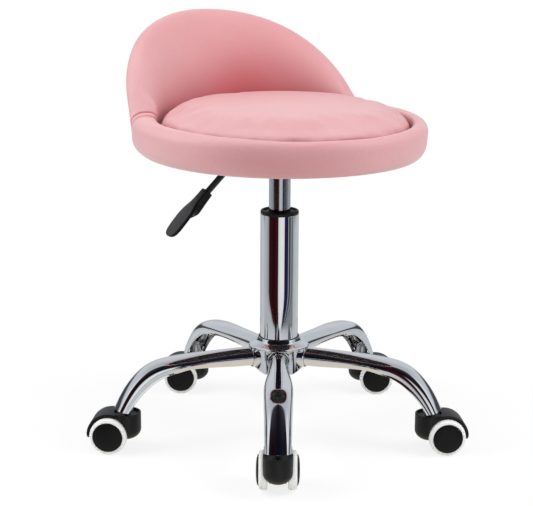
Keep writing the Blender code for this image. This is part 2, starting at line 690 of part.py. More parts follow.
def web():
    """Solid web in the middle plane that holds the axle."""
    rings = []
    for y in (-WEB_HALF, WEB_HALF):
        ring = [(0.0, y, WHEEL_R - 9.0), (0.0, y, BARREL_TOP - 2)]
        ring += [around_axle(FENDER_IN_R + 1.2, blend(112.0, -4.0, i / 7), y) for i in range(8)]
        ring += [around_axle(9.0, blend(-20.0, -160.0, i / 4), y) for i in range(5)]
        rings.append(ring)
    return lofted(rings)


def axle_drill(radius, low, high, steps):
    """A cutter lying along +Y through the wheel centre."""
    shape = cylinder(radius, low, high, steps)
    return helper(shape, "axle_drill", None, (TRAIL, 0, WHEEL_R), (-90, 0, 0))


def hood_mesh():
    """Barrel, fender and web in one, with room for wheels, stem and axle."""
    past = 40                      # cutters reach beyond the hood's sides
    above = 60                     # and above its top
    hood = piece(barrel(), "hood_pattern", BLACK_PLASTIC)
    stem_room = turned([(0, above), (STEM_R + 0.05, above), (STEM_R + 0.25, 33.0), (0, 33.0)], 12)
    dish = cylinder(BARREL_R - BARREL_LIP, BARREL_TOP - DISH_DEPTH, above, 18)
    combine(
        hood,
        add=[helper(fender(), "fender"), helper(web(), "web")],
        cut=[
            axle_drill(WHEEL_ROOM_R, WHEEL_ROOM_IN, past, 20),
            axle_drill(WHEEL_ROOM_R, -past, -WHEEL_ROOM_IN, 20),
            helper(dish, "dish"),
            helper(stem_room, "stem_room"),
            axle_drill(AXLE_R + 0.2, -past, past, 12),
        ],
    )
    mesh = hood.data
    bpy.data.objects.remove(hood, do_unlink=True)
    return mesh


def stem_mesh():
    """Stem with a collar under the socket and a domed head above it."""
    neck_r = SOCKET_BORE_R - 0.35
    profile = [
        (0, SOCKET_TOP + 3.2), (3.4, SOCKET_TOP + 2.7), (6.2, SOCKET_TOP + 0.3),
        (neck_r, SOCKET_TOP + 0.3), (neck_r, STEM_COLLAR_TOP),
        (STEM_COLLAR_R, STEM_COLLAR_TOP), (STEM_COLLAR_R, STEM_COLLAR_BOTTOM),
        (STEM_R, STEM_COLLAR_BOTTOM), (STEM_R, STEM_BOTTOM), (0, STEM_BOTTOM),
    ]
    return finish(turned(profile, 12), "caster_stem", STEEL)


def tyre_mesh():
    # A tyre facet, not an edge, stands on the floor, WHEEL_R below the axle.
    tread_r = WHEEL_R / math.cos(math.pi / STEPS_WHEEL)
    bore = CAP_R + 0.6
    profile = [
        (bore, TYRE_OUT), (tread_r - 3.2, TYRE_OUT), (tread_r, TYRE_OUT - 3.6),
        (tread_r, TYRE_IN + 1.2), (tread_r - 1.2, TYRE_IN), (bore, TYRE_IN),
    ]
    return finish(turned(profile, STEPS_WHEEL, closed=True), "tyre", WHITE_TYRE)


def core_mesh():
    """Wheel core with a domed outer cap and a blind hole for the axle."""
    core_r, hole_r, hole_end = CAP_R + 0.2, AXLE_R + 0.3, AXLE_HALF + 0.3
    profile = [
        (0, CAP_OUT), (14, CAP_OUT - 0.8), (core_r, CAP_OUT - 3.4), (core_r, TYRE_IN),
        (hole_r, TYRE_IN), (hole_r, hole_end), (0, hole_end),
    ]
    return finish(turned(profile, STEPS_WHEEL), "wheel_core", BLACK_PLASTIC)


def build_casters(base):
    """Five twin-wheel casters sharing their meshes."""
    hood, stem, tyre, core = hood_mesh(), stem_mesh(), tyre_mesh(), core_mesh()
    axle = finish(cylinder(AXLE_R, -AXLE_HALF, AXLE_HALF, 12), "caster_axle", STEEL)
    wheel_centre = (TRAIL, 0, WHEEL_R)
    for k, heading in enumerate(CASTER_HEADING):
        n = k + 1
        a = math.radians(arm_heading(k))
        stem_at = (STEM_CIRCLE_R * math.cos(a), STEM_CIRCLE_R * math.sin(a), 0)
        caster = empty(f"caster_{n}", base, stem_at, (0, 0, heading))
        place(f"caster_hood_{n}", hood, caster)
        place(f"caster_stem_{n}", stem, caster)
        place(f"caster_axle_{n}", axle, caster, wheel_centre, (-90, 0, 0))
        # Each wheel's own Z points outwards: l to +Y, r to -Y.
        for side, turn in (("l", -90), ("r", 90)):
            axis = empty(f"wheel_axis_{n}{side}", caster, wheel_centre, (turn, 0, 0))
            place(f"wheel_tyre_{n}{side}", tyre, axis)
            place(f"wheel_core_{n}{side}", core, axis)


# ---------------------------------------------------------------- assembly
def build_stool():
    stool = empty("stool", location=(COLUMN_X, COLUMN_Y, 0))
    base = empty("base", stool)
    seat = empty("seat", stool)
    build_hub(base)
    build_arms(base)
    build_tube(base)
    build_piston_rod(base)
    build_gas_cylinder(seat)
    build_plate(seat)
    build_disc(seat, "dust_cover", FLEECE, COVER_BOTTOM, COVER_TOP, opening_r=32.0, hole_r=3.1)
    build_disc(
        seat, "seat_board", PLYWOOD, BOARD_BOTTOM, BOARD_TOP,
        opening_r=30.0, hole_r=SCREW_HOLE_R,
    )
    build_screws(seat)
    build_lever(seat)
    build_upholstery(seat)
    build_casters(base)
    bpy.context.view_layer.update()


for old in list(bpy.data.objects):
    bpy.data.objects.remove(old, do_unlink=True)
build_stool()
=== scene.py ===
"""Pedicure stool: a padded round seat with a low back on a gas column, with five
chromed arms and twin-wheel casters, built round its CAD frame.

+Z is up. The back stands at +Y, the open front faces -Y and the lever points to -X.
Shapes are written in millimetres and turned into metres when a mesh is made.
The column's axis and the casters are placed from the frame's nodes.
Seat angles called phi are in degrees from +Y towards +X; arm angles run from +X.
"""

import math

import bmesh
import bpy
import numpy as np
from mathutils import Matrix, Vector


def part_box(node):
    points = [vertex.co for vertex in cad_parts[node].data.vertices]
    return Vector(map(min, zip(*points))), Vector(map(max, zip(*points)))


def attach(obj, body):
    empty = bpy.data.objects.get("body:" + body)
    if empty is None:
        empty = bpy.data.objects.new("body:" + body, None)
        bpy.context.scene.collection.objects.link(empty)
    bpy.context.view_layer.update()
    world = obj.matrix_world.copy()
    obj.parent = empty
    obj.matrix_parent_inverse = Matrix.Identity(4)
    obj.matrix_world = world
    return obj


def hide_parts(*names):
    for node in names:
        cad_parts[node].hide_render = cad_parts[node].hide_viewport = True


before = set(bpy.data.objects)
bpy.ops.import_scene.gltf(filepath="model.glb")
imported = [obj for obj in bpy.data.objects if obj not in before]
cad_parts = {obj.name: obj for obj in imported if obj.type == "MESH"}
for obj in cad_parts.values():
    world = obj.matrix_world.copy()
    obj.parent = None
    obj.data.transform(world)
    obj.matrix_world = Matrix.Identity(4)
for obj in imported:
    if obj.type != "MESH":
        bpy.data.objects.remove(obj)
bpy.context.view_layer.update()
scene = bpy.context.scene

UNIT = 0.001                       # a millimetre in metres
DEEP_X, DEEP_Y = 0.515, 0.857      # level direction away from the camera
VIEW_PHI = 31.0                    # the same direction as phi


def middle(node):
    low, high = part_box(node)
    return (low + high) / 2 * 1000


def heights(node):
    """Bottom and top of a frame node."""
    return [corner.z * 1000 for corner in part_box(node)]


AXIS_X, AXIS_Y = middle("outer_tube")[:2]
COLUMN = (AXIS_X, AXIS_Y, 0)


# ------------------------------------------------------------------ materials
class Nodes:
    """Writes a node tree in a few lines; a socket given as a value becomes a link."""

    def __init__(self, name=None, tree=None):
        if tree is None:
            self.material = bpy.data.materials.new(name)
            self.material.use_nodes = True
            tree = self.material.node_tree
        self.tree = tree
        tree.nodes.clear()

    def add(self, kind, inputs, **settings):
        node = self.tree.nodes.new("ShaderNode" + kind)
        for key, value in settings.items():
            setattr(node, key, value)
        for key, value in inputs.items():
            socket = node.inputs[key]
            if isinstance(value, bpy.types.NodeSocket):
                self.tree.links.new(value, socket)
            elif value is not None:
                socket.default_value = (*value, 1) if socket.type == "RGBA" else value
        return node

    def coords(self, scale=(1, 1, 1)):
        where = self.add("TexCoord", {}).outputs["Object"]
        return self.add("Mapping", {"Vector": where, "Scale": scale}).outputs[0]

    def noise(self, where, scale, detail=3.0, rough=0.5):
        inputs = {"Vector": where, "Scale": scale, "Detail": detail, "Roughness": rough}
        return self.add("TexNoise", inputs).outputs["Fac"]

    def cells(self, where, scale, feature="F1", **inputs):
        inputs = {"Vector": where, "Scale": scale, **inputs}
        return self.add("TexVoronoi", inputs, feature=feature).outputs["Distance"]

    def wave(self, where, scale, distortion, direction):
        inputs = {"Vector": where, "Scale": scale, "Distortion": distortion}
        return self.add("TexWave", inputs, bands_direction=direction).outputs["Fac"]

    def open_share(self, distance, samples):
        """Ambient occlusion: low where surfaces within the distance close in."""
        return self.add("AmbientOcclusion", {"Distance": distance}, samples=samples).outputs["AO"]

    def span(self, value, source, to=(0.0, 1.0), smooth=False):
        """Maps the source range to another, clamped."""
        inputs = {"Value": value, "From Min": source[0], "From Max": source[1],
                  "To Min": to[0], "To Max": to[1]}
        kind = "SMOOTHSTEP" if smooth else "LINEAR"
        return self.add("MapRange", inputs, interpolation_type=kind).outputs[0]

    def calc(self, operation, first, second=0.0):
        return self.add("Math", {0: first, 1: second}, operation=operation).outputs[0]

    def mix(self, share, first, second):
        inputs = {"Factor": share, 6: first, 7: second}
        return self.add("Mix", inputs, data_type="RGBA").outputs[2]

    def ramp(self, value, stops):
        node = self.add("ValToRGB", {"Fac": value})
        elements = node.color_ramp.elements
        while len(elements) > 1:
            elements.remove(elements[-1])
        for i, (place, colour) in enumerate(stops):
            element = elements[0] if i == 0 else elements.new(place)
            element.position = place
            element.color = (*colour, 1.0)
        return node.outputs["Color"]

    def bump(self, height, strength, distance, under=None):
        inputs = {"Height": height, "Strength": strength, "Distance": distance, "Normal": under}
        return self.add("Bump", inputs).outputs[0]

    def finish(self, tone, rough, normal, **more):
        """Closes the tree with a Principled BSDF; names in more use _ for a space."""
        inputs = {"Base Color": tone, "Roughness": rough, "Normal": normal}
        inputs.update({key.replace("_", " "): value for key, value in more.items()})
        bsdf = self.add("BsdfPrincipled", inputs)
        self.add("OutputMaterial", {0: bsdf.outputs[0]})
        return self.material


def linear(*colour):
    """sRGB 0-255 to linear."""
    return tuple(((c / 255 + 0.055) / 1.055) ** 2.4 if c > 10 else c / 255 / 12.92
                 for c in colour)


def leather():
    tree = Nodes("pink_leatherette")
    where = tree.coords()
    cloud = tree.noise(where, scale=9.0)
    mottle = tree.noise(where, scale=260.0, detail=4.0, rough=0.6)
    cells = tree.cells(where, scale=820.0, feature="SMOOTH_F1", Smoothness=0.6)
    pores = tree.cells(where, scale=1500.0)
    tone = tree.mix(tree.span(cloud, (0.35, 0.65)), (0.562, 0.302, 0.312), (0.592, 0.323, 0.333))
    tone = tree.mix(tree.span(mottle, (0.3, 0.7), to=(0.0, 0.22)), tone, (0.60, 0.235, 0.25))
    tone = tree.mix(tree.span(cells, (0.45, 0.75), to=(0.0, 0.16)), tone, (0.53, 0.185, 0.20))
    # Painted shade: darker tones in tight folds and in wide hollows, from ambient occlusion, and
    # where a shade attribute stored on the mesh marks it.
    fold = tree.open_share(distance=0.0024, samples=6)
    tone = tree.mix(tree.span(fold, (0.30, 0.92), to=(0.92, 0.0)), tone, (0.26, 0.045, 0.055))
    hollow = tree.open_share(distance=0.34, samples=8)
    tone = tree.mix(tree.span(hollow, (0.25, 0.82), to=(0.90, 0.0)), tone, (0.40, 0.080, 0.092))
    shade_share = tree.add("Attribute", {}, attribute_name="painted_shade").outputs["Fac"]
    # painted shade colour where the stored attribute marks the mesh
    tone = tree.mix(shade_share, tone, (0.49, 0.078, 0.090))
    rough = tree.calc("ADD", tree.span(mottle, (0.3, 0.7), to=(0.40, 0.48)),
                      tree.span(cells, (0.0, 0.7), to=(0.0, 0.05)))
    wrinkles = tree.noise(where, scale=75.0, detail=4.0, rough=0.55)
    creases = tree.bump(wrinkles, strength=0.10, distance=0.0009)
    grain = tree.bump(cells, strength=0.16, distance=0.00022, under=creases)
    grain = tree.bump(pores, strength=0.06, distance=0.0001, under=grain)
    return tree.finish(tone, rough, grain, Sheen_Weight=0.26, Sheen_Roughness=0.45,
                       Sheen_Tint=(1.0, 0.93, 0.95), Specular_IOR_Level=0.95)


def thread():
    tree = Nodes("pink_thread")
    twist = tree.wave(tree.coords(), scale=700.0, distortion=1.0, direction="DIAGONAL")
    tone = tree.mix(twist, (0.34, 0.085, 0.10), (0.46, 0.14, 0.16))
    return tree.finish(tone, 0.6, tree.bump(twist, strength=0.4, distance=0.0001),
                       Sheen_Weight=0.3)


def chrome(name="polished_chrome", tint=(0.80, 0.81, 0.83), wave=0.05, rough=(0.025, 0.07)):
    """wave is the strength of the surface's soft unevenness."""
    tree = Nodes(name)
    where = tree.coords()
    haze = tree.noise(where, scale=55.0, detail=5.0, rough=0.6)
    swell = tree.noise(where, scale=22.0, detail=2.0, rough=0.4)
    tone = tree.mix(tree.span(haze, (0.3, 0.7)), tint, tuple(c * 0.95 for c in tint))
    lines = tree.noise(tree.coords((1, 1, 0.12)), scale=900.0, detail=2.0)
    fine = tree.bump(lines, strength=0.012, distance=0.0001)
    normal = tree.bump(swell, strength=wave, distance=0.004, under=fine)
    return tree.finish(tone, tree.span(haze, (0.3, 0.7), to=rough), normal, Metallic=1.0)


def steel(name, tint, rough, brushed=(1, 1, 0.08)):
    """brushed scales the texture: a small value draws the lines out along that axis."""
    tree = Nodes(name)
    lines = tree.noise(tree.coords(brushed), scale=700.0, detail=4.0, rough=0.65)
    cloud = tree.noise(tree.coords(), scale=60.0)
    tone = tree.mix(tree.span(cloud, (0.35, 0.65)), tint, tuple(c * 0.82 for c in tint))
    rough = tree.calc("ADD", tree.span(lines, (0.3, 0.7), to=(rough, rough + 0.12)),
                      tree.span(cloud, (0.3, 0.7), to=(0.0, 0.05)))
    return tree.finish(tone, rough, tree.bump(lines, strength=0.08, distance=0.0001),
                       Metallic=1.0)


def moulded(name, dark, light, rough=(0.34, 0.44), grain=0.14, shine=0.5):
    """Injection-moulded plastic: fine spark grain and soft sink marks."""
    tree = Nodes(name)
    where = tree.coords()
    cloud = tree.noise(where, scale=40.0)
    spark = tree.noise(where, scale=2600.0, detail=2.0, rough=0.6)
    tone = tree.mix(tree.span(cloud, (0.3, 0.7)), dark, light)
    dents = tree.noise(where, scale=70.0, detail=1.0)
    sink = tree.bump(dents, strength=0.06, distance=0.0006)
    rough = tree.calc("ADD", tree.span(cloud, (0.3, 0.7), to=rough),
                      tree.span(spark, (0.3, 0.7), to=(0.0, 0.05)))
    normal = tree.bump(spark, strength=grain, distance=0.00006, under=sink)
    return tree.finish(tone, rough, normal, Specular_IOR_Level=shine)


def painted():
    tree = Nodes("black_powder_coat")
    where = tree.coords()
    peel = tree.noise(where, scale=900.0, detail=2.0)
    cloud = tree.noise(where, scale=35.0)
    tone = tree.mix(tree.span(cloud, (0.3, 0.7)), (0.012, 0.012, 0.013), (0.022, 0.022, 0.023))
    return tree.finish(tone, tree.span(cloud, (0.3, 0.7), to=(0.30, 0.40)),
                       tree.bump(peel, strength=0.22, distance=0.00015),
                       Coat_Weight=0.2, Coat_Roughness=0.2)


def plywood():
    tree = Nodes("birch_plywood")
    plies = tree.wave(tree.coords(), scale=130.0, distortion=0.6, direction="Z")
    figure = tree.noise(tree.coords((1, 9, 1)), scale=40.0, detail=6.0, rough=0.65)
    tone = tree.mix(figure, (0.60, 0.42, 0.25), (0.42, 0.27, 0.14))
    tone = tree.mix(tree.span(plies, (0.4, 0.6), to=(0.0, 0.35)), tone, (0.30, 0.18, 0.09))
    return tree.finish(tone, tree.span(figure, (0.2, 0.8), to=(0.6, 0.8)),
                       tree.bump(figure, strength=0.25, distance=0.0003))


def fleece():
    """Thin black nonwoven cloth: pressed dots on a felt of fibres."""
    tree = Nodes("black_nonwoven")
    where = tree.coords()
    fibres = tree.noise(where, scale=1200.0, detail=6.0, rough=0.75)
    dots = tree.cells(where, scale=520.0, Randomness=0.12)
    tone = tree.mix(tree.span(fibres, (0.3, 0.7)), (0.008, 0.008, 0.009), (0.028, 0.028, 0.030))
    height = tree.calc("ADD", tree.calc("MULTIPLY", fibres, 0.5), tree.span(dots, (0.0, 0.3)))
    return tree.finish(tone, tree.span(fibres, (0.3, 0.7), to=(0.85, 0.97)),
                       tree.bump(height, strength=0.5, distance=0.00025),
                       Sheen_Weight=0.25, Specular_IOR_Level=0.2)


LEATHER = leather()
THREAD = thread()
CHROME = chrome()
COLUMN_CHROME = chrome("column_chrome", wave=0.015, rough=(0.02, 0.05))
CYLINDER_CHROME = chrome("hard_chrome", tint=(0.50, 0.51, 0.54), wave=0.0, rough=(0.13, 0.17))
STEM_STEEL = steel("bright_steel", tint=(0.86, 0.87, 0.88), rough=0.26)
STEEL = steel("ground_steel", tint=(0.56, 0.57, 0.58), rough=0.26)
ZINC = steel("zinc_plate", tint=(0.60, 0.60, 0.57), rough=0.30, brushed=(1, 1, 1))
NYLON = moulded("black_nylon", dark=(0.0060, 0.0060, 0.0064), light=(0.0085, 0.0085, 0.009),
                shine=0.30)
# Black nylon of the wheel caps; it is also the painted shade on the grip's sides.
CAP_NYLON_AND_GRIP_SHADE = moulded("black_cap_nylon_and_grip_shade", dark=(0.0045, 0.0045, 0.005),
                    light=(0.0062, 0.0062, 0.0068), rough=(0.42, 0.50), grain=0.2, shine=0.20)
GRIP_NYLON = moulded("black_grip_nylon", dark=(0.0130, 0.0130, 0.0145),
                     light=(0.0175, 0.0175, 0.019), rough=(0.36, 0.44))
TYRE = moulded("white_polyurethane", dark=(0.74, 0.75, 0.73), light=(0.79, 0.795, 0.775),
               rough=(0.40, 0.48), grain=0.08)
PAINT = painted()
PLYWOOD = plywood()
FLEECE = fleece()


# ------------------------------------------------------------------- meshing
def new_object(name, verts, faces, material, smooth=38.0, location=None):
    """verts in millimetres; smooth is the angle below which edges shade smooth."""
    mesh = bpy.data.meshes.new(name)
    mesh.from_pydata((np.asarray(verts, float).reshape(-1, 3) * UNIT).tolist(), [], faces)
    shape = bmesh.new()
    shape.from_mesh(mesh)
    bmesh.ops.remove_doubles(shape, verts=shape.verts, dist=1e-7)
    bmesh.ops.dissolve_degenerate(shape, edges=shape.edges, dist=1e-8)
    bmesh.ops.recalc_face_normals(shape, faces=shape.faces)
    shape.to_mesh(mesh)
    shape.free()
    mesh.shade_smooth()
    if smooth:
        mesh.set_sharp_from_angle(angle=math.radians(smooth))
    mesh.materials.append(material)
    return link(name, mesh, location)


def link(name, mesh, location=None, turn=0.0):
    """turn is in degrees about Z."""
    obj = bpy.data.objects.new(name, mesh)
    scene.collection.objects.link(obj)
    if location is not None:
        obj.location = Vector(location) * UNIT
    obj.rotation_euler = (0, 0, math.radians(turn))
    return obj


def drop(obj):
    """Removes the object and returns its mesh for reuse."""
    mesh = obj.data
    bpy.data.objects.remove(obj, do_unlink=True)
    return mesh


def piece(obj, body, slot, *stands_for):
    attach(obj, body)
    if stands_for:
        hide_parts(*stands_for)


def grid_faces(rows, cols, wrap_rows=False, wrap_cols=False, start=0):
    row, col = np.meshgrid(np.arange(rows if wrap_rows else rows - 1),
                           np.arange(cols if wrap_cols else cols - 1), indexing="ij")
    next_row, next_col = (row + 1) % rows, (col + 1) % cols
    quads = [row * cols + col, row * cols + next_col,
             next_row * cols + next_col, next_row * cols + col]
    return (np.stack(quads, -1).reshape(-1, 4) + start).tolist()


def filleted(points, closed=False, arc=5):
    """Rounds the corners of (x, y[, fillet]) points, each with arc steps."""
    out, count = [], len(points)
    for i, point in enumerate(points):
        x, y, fillet = (*point, 0.0)[:3]
        if fillet <= 0 or (not closed and i in (0, count - 1)):
            out.append((x, y))
            continue
        corner = np.array((x, y))
        back = np.array(points[i - 1][:2]) - corner
        ahead = np.array(points[(i + 1) % count][:2]) - corner
        back_len = max(np.linalg.norm(back), 1e-9)
        ahead_len = max(np.linalg.norm(ahead), 1e-9)
        back, ahead = back / back_len, ahead / ahead_len
        half = math.acos(max(-1.0, min(1.0, float(back @ ahead)))) / 2
        if half < 0.02 or half > math.pi / 2 - 0.02:
            out += [(x, y)] * (arc + 1)
            continue
        reach = min(fillet / math.tan(half), 0.48 * back_len, 0.48 * ahead_len)
        radius = reach * math.tan(half)
        inward = (back + ahead) / np.linalg.norm(back + ahead)
        centre = corner + inward * radius / math.sin(half)
        start, end = corner + back * reach - centre, corner + ahead * reach - centre
        first = math.atan2(start[1], start[0])
        turn = (math.atan2(end[1], end[0]) - first + math.pi) % (2 * math.pi) - math.pi
        for k in range(arc + 1):
            angle = first + turn * k / arc
            out.append((centre[0] + radius * math.cos(angle),
                        centre[1] + radius * math.sin(angle)))
    return out


def lathe(name, profile, material, steps=96, base=0.0, ring=False, arc=5, **place):
    """Turns (radius, z above base[, fillet]) points about Z; a ring's profile is closed."""
    profile = filleted([(x, z + base, *fillet) for x, z, *fillet in profile], ring, arc)
    radius, z = np.array(profile).T
    angle = np.arange(steps) * 2 * math.pi / steps
    verts = np.stack([np.outer(np.cos(angle), radius), np.outer(np.sin(angle), radius),
                      np.tile(z, (steps, 1))], -1)
    return new_object(name, verts, grid_faces(steps, len(profile), True, ring), material, **place)


def loft(name, rings, material, **place):
    """Closed rings joined in a row, capped at both ends."""
    rings = np.asarray(rings, float)
    rows, cols = rings.shape[:2]
    faces = grid_faces(rows, cols, False, True)
    faces += [list(range(cols))[::-1], [(rows - 1) * cols + k for k in range(cols)]]
    return new_object(name, rings, faces, material, **place)


def box(name, low, high, material, bevel, segments=3, **place):
    shape = bmesh.new()
    bmesh.ops.create_cube(shape, size=1.0)
    for vert in shape.verts:
        vert.co = [low[i] + (vert.co[i] + 0.5) * (high[i] - low[i]) for i in range(3)]
    bmesh.ops.bevel(shape, geom=list(shape.edges), offset=bevel, segments=segments,
                    affect="EDGES", profile=0.5, clamp_overlap=True)
    shape.verts.index_update()
    verts = [vert.co[:] for vert in shape.verts]
    faces = [[vert.index for vert in face.verts] for face in shape.faces]
    shape.free()
    return new_object(name, verts, faces, material, **place)


def capsules(name, ends, radius, material):
    """Short rounded bars from pairs of points; used for stitches and staples."""
    around = 6
    verts, faces = [], []
    for first, last in ends:
        first, last = np.array(first, float), np.array(last, float)
        along = (last - first) / np.linalg.norm(last - first)
        side = np.cross(along, (0.3, 0.5, 0.81))
        side /= np.linalg.norm(side)
        over = np.cross(along, side)
        start = len(verts)
        # Point, shift along the bar in radii, share of the radius.
        rows = [(first, -0.9, 0.35), (first, -0.4, 0.8), (first, 0.3, 1.0),
                ((first + last) / 2, 0.0, 1.06),
                (last, -0.3, 1.0), (last, 0.4, 0.8), (last, 0.9, 0.35)]
        for point, shift, share in rows:
            centre = point + along * radius * shift
            for k in range(around):
                angle = 2 * math.pi * k / around
                spoke = side * math.cos(angle) + over * math.sin(angle)
                verts.append(centre + spoke * radius * share)
        faces += grid_faces(len(rows), around, False, True, start)
        faces += [[start + k for k in range(around)][::-1],
                  [start + (len(rows) - 1) * around + k for k in range(around)]]
    return new_object(name, verts, faces, material, smooth=60)


def apply_modifiers(obj):
    bpy.context.view_layer.update()
    graph = bpy.context.evaluated_depsgraph_get()
    mesh = bpy.data.meshes.new_from_object(obj.evaluated_get(graph))
    obj.modifiers.clear()
    obj.data = mesh
    return mesh


def carve(obj, cuts, unions=(), soften=0.0, smooth=32.0):
    """Adds the unions, takes the cuts away and rounds the new edges by soften."""
    for operation, helpers in (("UNION", unions), ("DIFFERENCE", cuts)):
        for helper in helpers:
            mod = obj.modifiers.new(operation.lower(), "BOOLEAN")
            mod.operation, mod.object, mod.solver = operation, helper, "EXACT"
    if soften:
        mod = obj.modifiers.new("soften", "BEVEL")
        mod.width, mod.segments, mod.limit_method = soften * UNIT, 2, "ANGLE"
        mod.angle_limit = math.radians(38)
        mod.use_clamp_overlap = True
    mesh = apply_modifiers(obj)
    mesh.name = obj.name
    mesh.shade_smooth()
    mesh.set_sharp_from_angle(angle=math.radians(smooth))
    for helper in (*unions, *cuts):
        drop(helper)
    return obj


def joined(name, objects):
    """One object from several, with their materials; they are dropped."""
    shape = bmesh.new()
    materials = []
    bpy.context.view_layer.update()
    for obj in objects:
        start = len(shape.faces)
        mesh = obj.data.copy()
        mesh.transform(obj.matrix_world)
        shape.from_mesh(mesh)
        material = obj.data.materials[0]
        if material not in materials:
            materials.append(material)
        shape.faces.ensure_lookup_table()
        for face in shape.faces[start:]:
            face.material_index = materials.index(material)
        bpy.data.meshes.remove(mesh)
    out = bpy.data.meshes.new(name)
    shape.to_mesh(out)
    shape.free()
    out.shade_smooth()
    out.set_sharp_from_angle(angle=math.radians(38.0))
    for material in materials:
        out.materials.append(material)
    for obj in objects:
        drop(obj)
    return link(name, out)


def vectors(mesh, what, kind=float):
    """Each vertex's co or normal as rows."""
    values = np.zeros(len(mesh.vertices) * 3, kind)
    mesh.vertices.foreach_get(what, values)
    return values.reshape(-1, 3)


def clamp(share):
    return min(1.0, max(0.0, share))


def blend(start, end, share):
    return start + (end - start) * clamp(share)


def smooth_step(share):
    share = clamp(share)
    return share * share * (3 - 2 * share)


def bell(offset, width):
    return np.exp(-(offset / width) ** 2)


def through(points, share):
    """Catmull-Rom curve through rows of numbers, share from 0 to 1."""
    spans = len(points) - 1
    place = clamp(share) * spans
    i = min(int(place), spans - 1)
    part = place - i
    near = [points[min(max(i + k, 0), spans)] for k in (-1, 0, 1, 2)]
    return [
        0.5 * (2 * start + (end - before) * part
               + (2 * before - 5 * start + 4 * end - after) * part * part
               + (3 * start - before - 3 * end + after) * part ** 3)
        for before, start, end, after in zip(*near)
    ]


# ------------------------------------------------------- seat: rim and low back
SEAT_R = 187.0
OPENING_R, OPENING_SHIFT = 160.2, 12.0   # the round opening lies shifted to the front
RIM_BOTTOM = 380.4
RIM_CREST = 422.5                  # at the front; it rises a little towards the back
BACK_FOOT, BACK_RISE = 414.0, 136.3
BACK_SPREAD = 69.7                 # phi at which the back has run out
BACK_LEAN, TOP_ROUND = 39.7, 14.0
CORNER_R, CORNER_RISE = 25.0, 19.0       # rounded lower edge: width and height
SEAM_DEG = 66.0                    # phi of the two upright seams
SEAM_R = 178.0                     # radius that turns lengths near them into angles
TOPSTITCH = 5.2                    # distance of the stitched line from the seam
EDGE_SEAM = 3.5                    # the back's outer seam, below the rounded top edge
# Depths of the outer wall's rows below that edge, dense round the seam.
EDGE_ROWS = (0.0, 0.9, 1.7, 2.3, 2.7, 3.0, 3.3, 3.6, 3.9, 4.2, 4.6, 5.2, 6.2, 8.0, 10.5)
NO_SEAM = 99.0


def opening_at(phi):
    """Distance from the column's axis to the wall of the opening."""
    shift = -OPENING_SHIFT * math.cos(math.radians(phi))
    return shift + math.sqrt(shift * shift - OPENING_SHIFT ** 2 + OPENING_R ** 2)


def from_back(phi):
    return abs((phi + 180.0) % 360.0 - 180.0)


def ridge_height(phi):
    turn = from_back(phi)
    bolster = RIM_CREST + 6.2 * smooth_step((180.0 - turn) / 100.0)
    back = BACK_FOOT + BACK_RISE * max(0.0, 1 - (turn / BACK_SPREAD) ** 2.03) ** 0.87
    softness = 5.0
    return bolster + softness * math.log1p(math.exp((back - bolster) / softness))


def cover_section(phi):
    """Closed section of the upholstered rim: (distance, z) and the distance of each
    point from the back's outer seam."""
    inner, top = opening_at(phi), ridge_height(phi)
    width = SEAT_R - inner

    def outer(z):
        return SEAT_R + BACK_LEAN * min(1.3, max(0.0, (z - 400.0) / 150.0)) ** 1.52

    low, high = RIM_BOTTOM + CORNER_RISE, top - TOP_ROUND
    full = smooth_step(smooth_step((top - 440.0) / 80.0) * 6)   # 0 on the rim, 1 on the back
    tip_out = outer(high)
    half = blend(width / 2, TOP_ROUND, full)
    tip_in = tip_out - 2 * half
    crest = tip_in + 2 * half * blend(0.42, 0.5, full)
    corner = min(CORNER_R, width - 5.5)
    points, seam = [], []

    def put(distance, z, seam_gap=NO_SEAM):
        points.append((distance, z))
        seam.append(seam_gap)

    for k in range(5):                                   # inner bottom edge
        angle = math.radians(180 + 90 * k / 4)
        put(inner + 3.0 + 3.0 * math.cos(angle), RIM_BOTTOM + 3.2 + 3.0 * math.sin(angle))
    for k in range(1, 4):                                # underside
        put(blend(inner + 3.0, SEAT_R - corner, k / 4), RIM_BOTTOM + 0.1)
    for k in range(12):                                  # rounded lower edge
        angle = math.radians(270 + 90 * k / 11)
        put(SEAT_R - corner + corner * math.cos(angle), low + CORNER_RISE * math.sin(angle))
    span = high - EDGE_ROWS[-1] - low
    if span > 2:                                         # outer wall, with the seam
        for k in range(1, 10):
            z = low + span * k / 10
            put(outer(z), z)
        for depth in EDGE_ROWS[::-1]:
            put(outer(high - depth), high - depth, depth - EDGE_SEAM)
    else:                                                # low outer wall, same point count
        count = 9 + len(EDGE_ROWS)
        for k in range(1, count + 1):
            z = blend(low, high, k / count)
            put(outer(z), z)
    for k in range(1, 13):                               # rounded top, outer half
        angle = math.pi / 2 * k / 12
        put(crest + (tip_out - crest) * math.cos(angle), high + TOP_ROUND * math.sin(angle))
    foot = min(425.0, high - 2.0)
    crest_pull = crest - blend(0.80, 0.36, full) * (crest - inner)
    foot_pull = foot + blend(0.80, 0.50, full) * (top - foot)
    for k in range(1, 27):                               # Bezier from the crest down inside
        t = k / 27
        rest = 1 - t
        put(crest * rest ** 3 + 3 * crest_pull * rest * rest * t
            + 3 * inner * rest * t * t + inner * t ** 3,
            top * rest ** 3 + 3 * top * rest * rest * t
            + 3 * foot_pull * rest * t * t + foot * t ** 3)
    for k in range(6):                                   # wall of the round opening
        put(inner, blend(foot, RIM_BOTTOM + 4.5, (k / 6) ** 1.2))
    points = np.array(points)
    for _ in range(2):
        points = 0.5 * points + 0.25 * (np.roll(points, 1, 0) + np.roll(points, -1, 0))
    return points, np.array(seam)


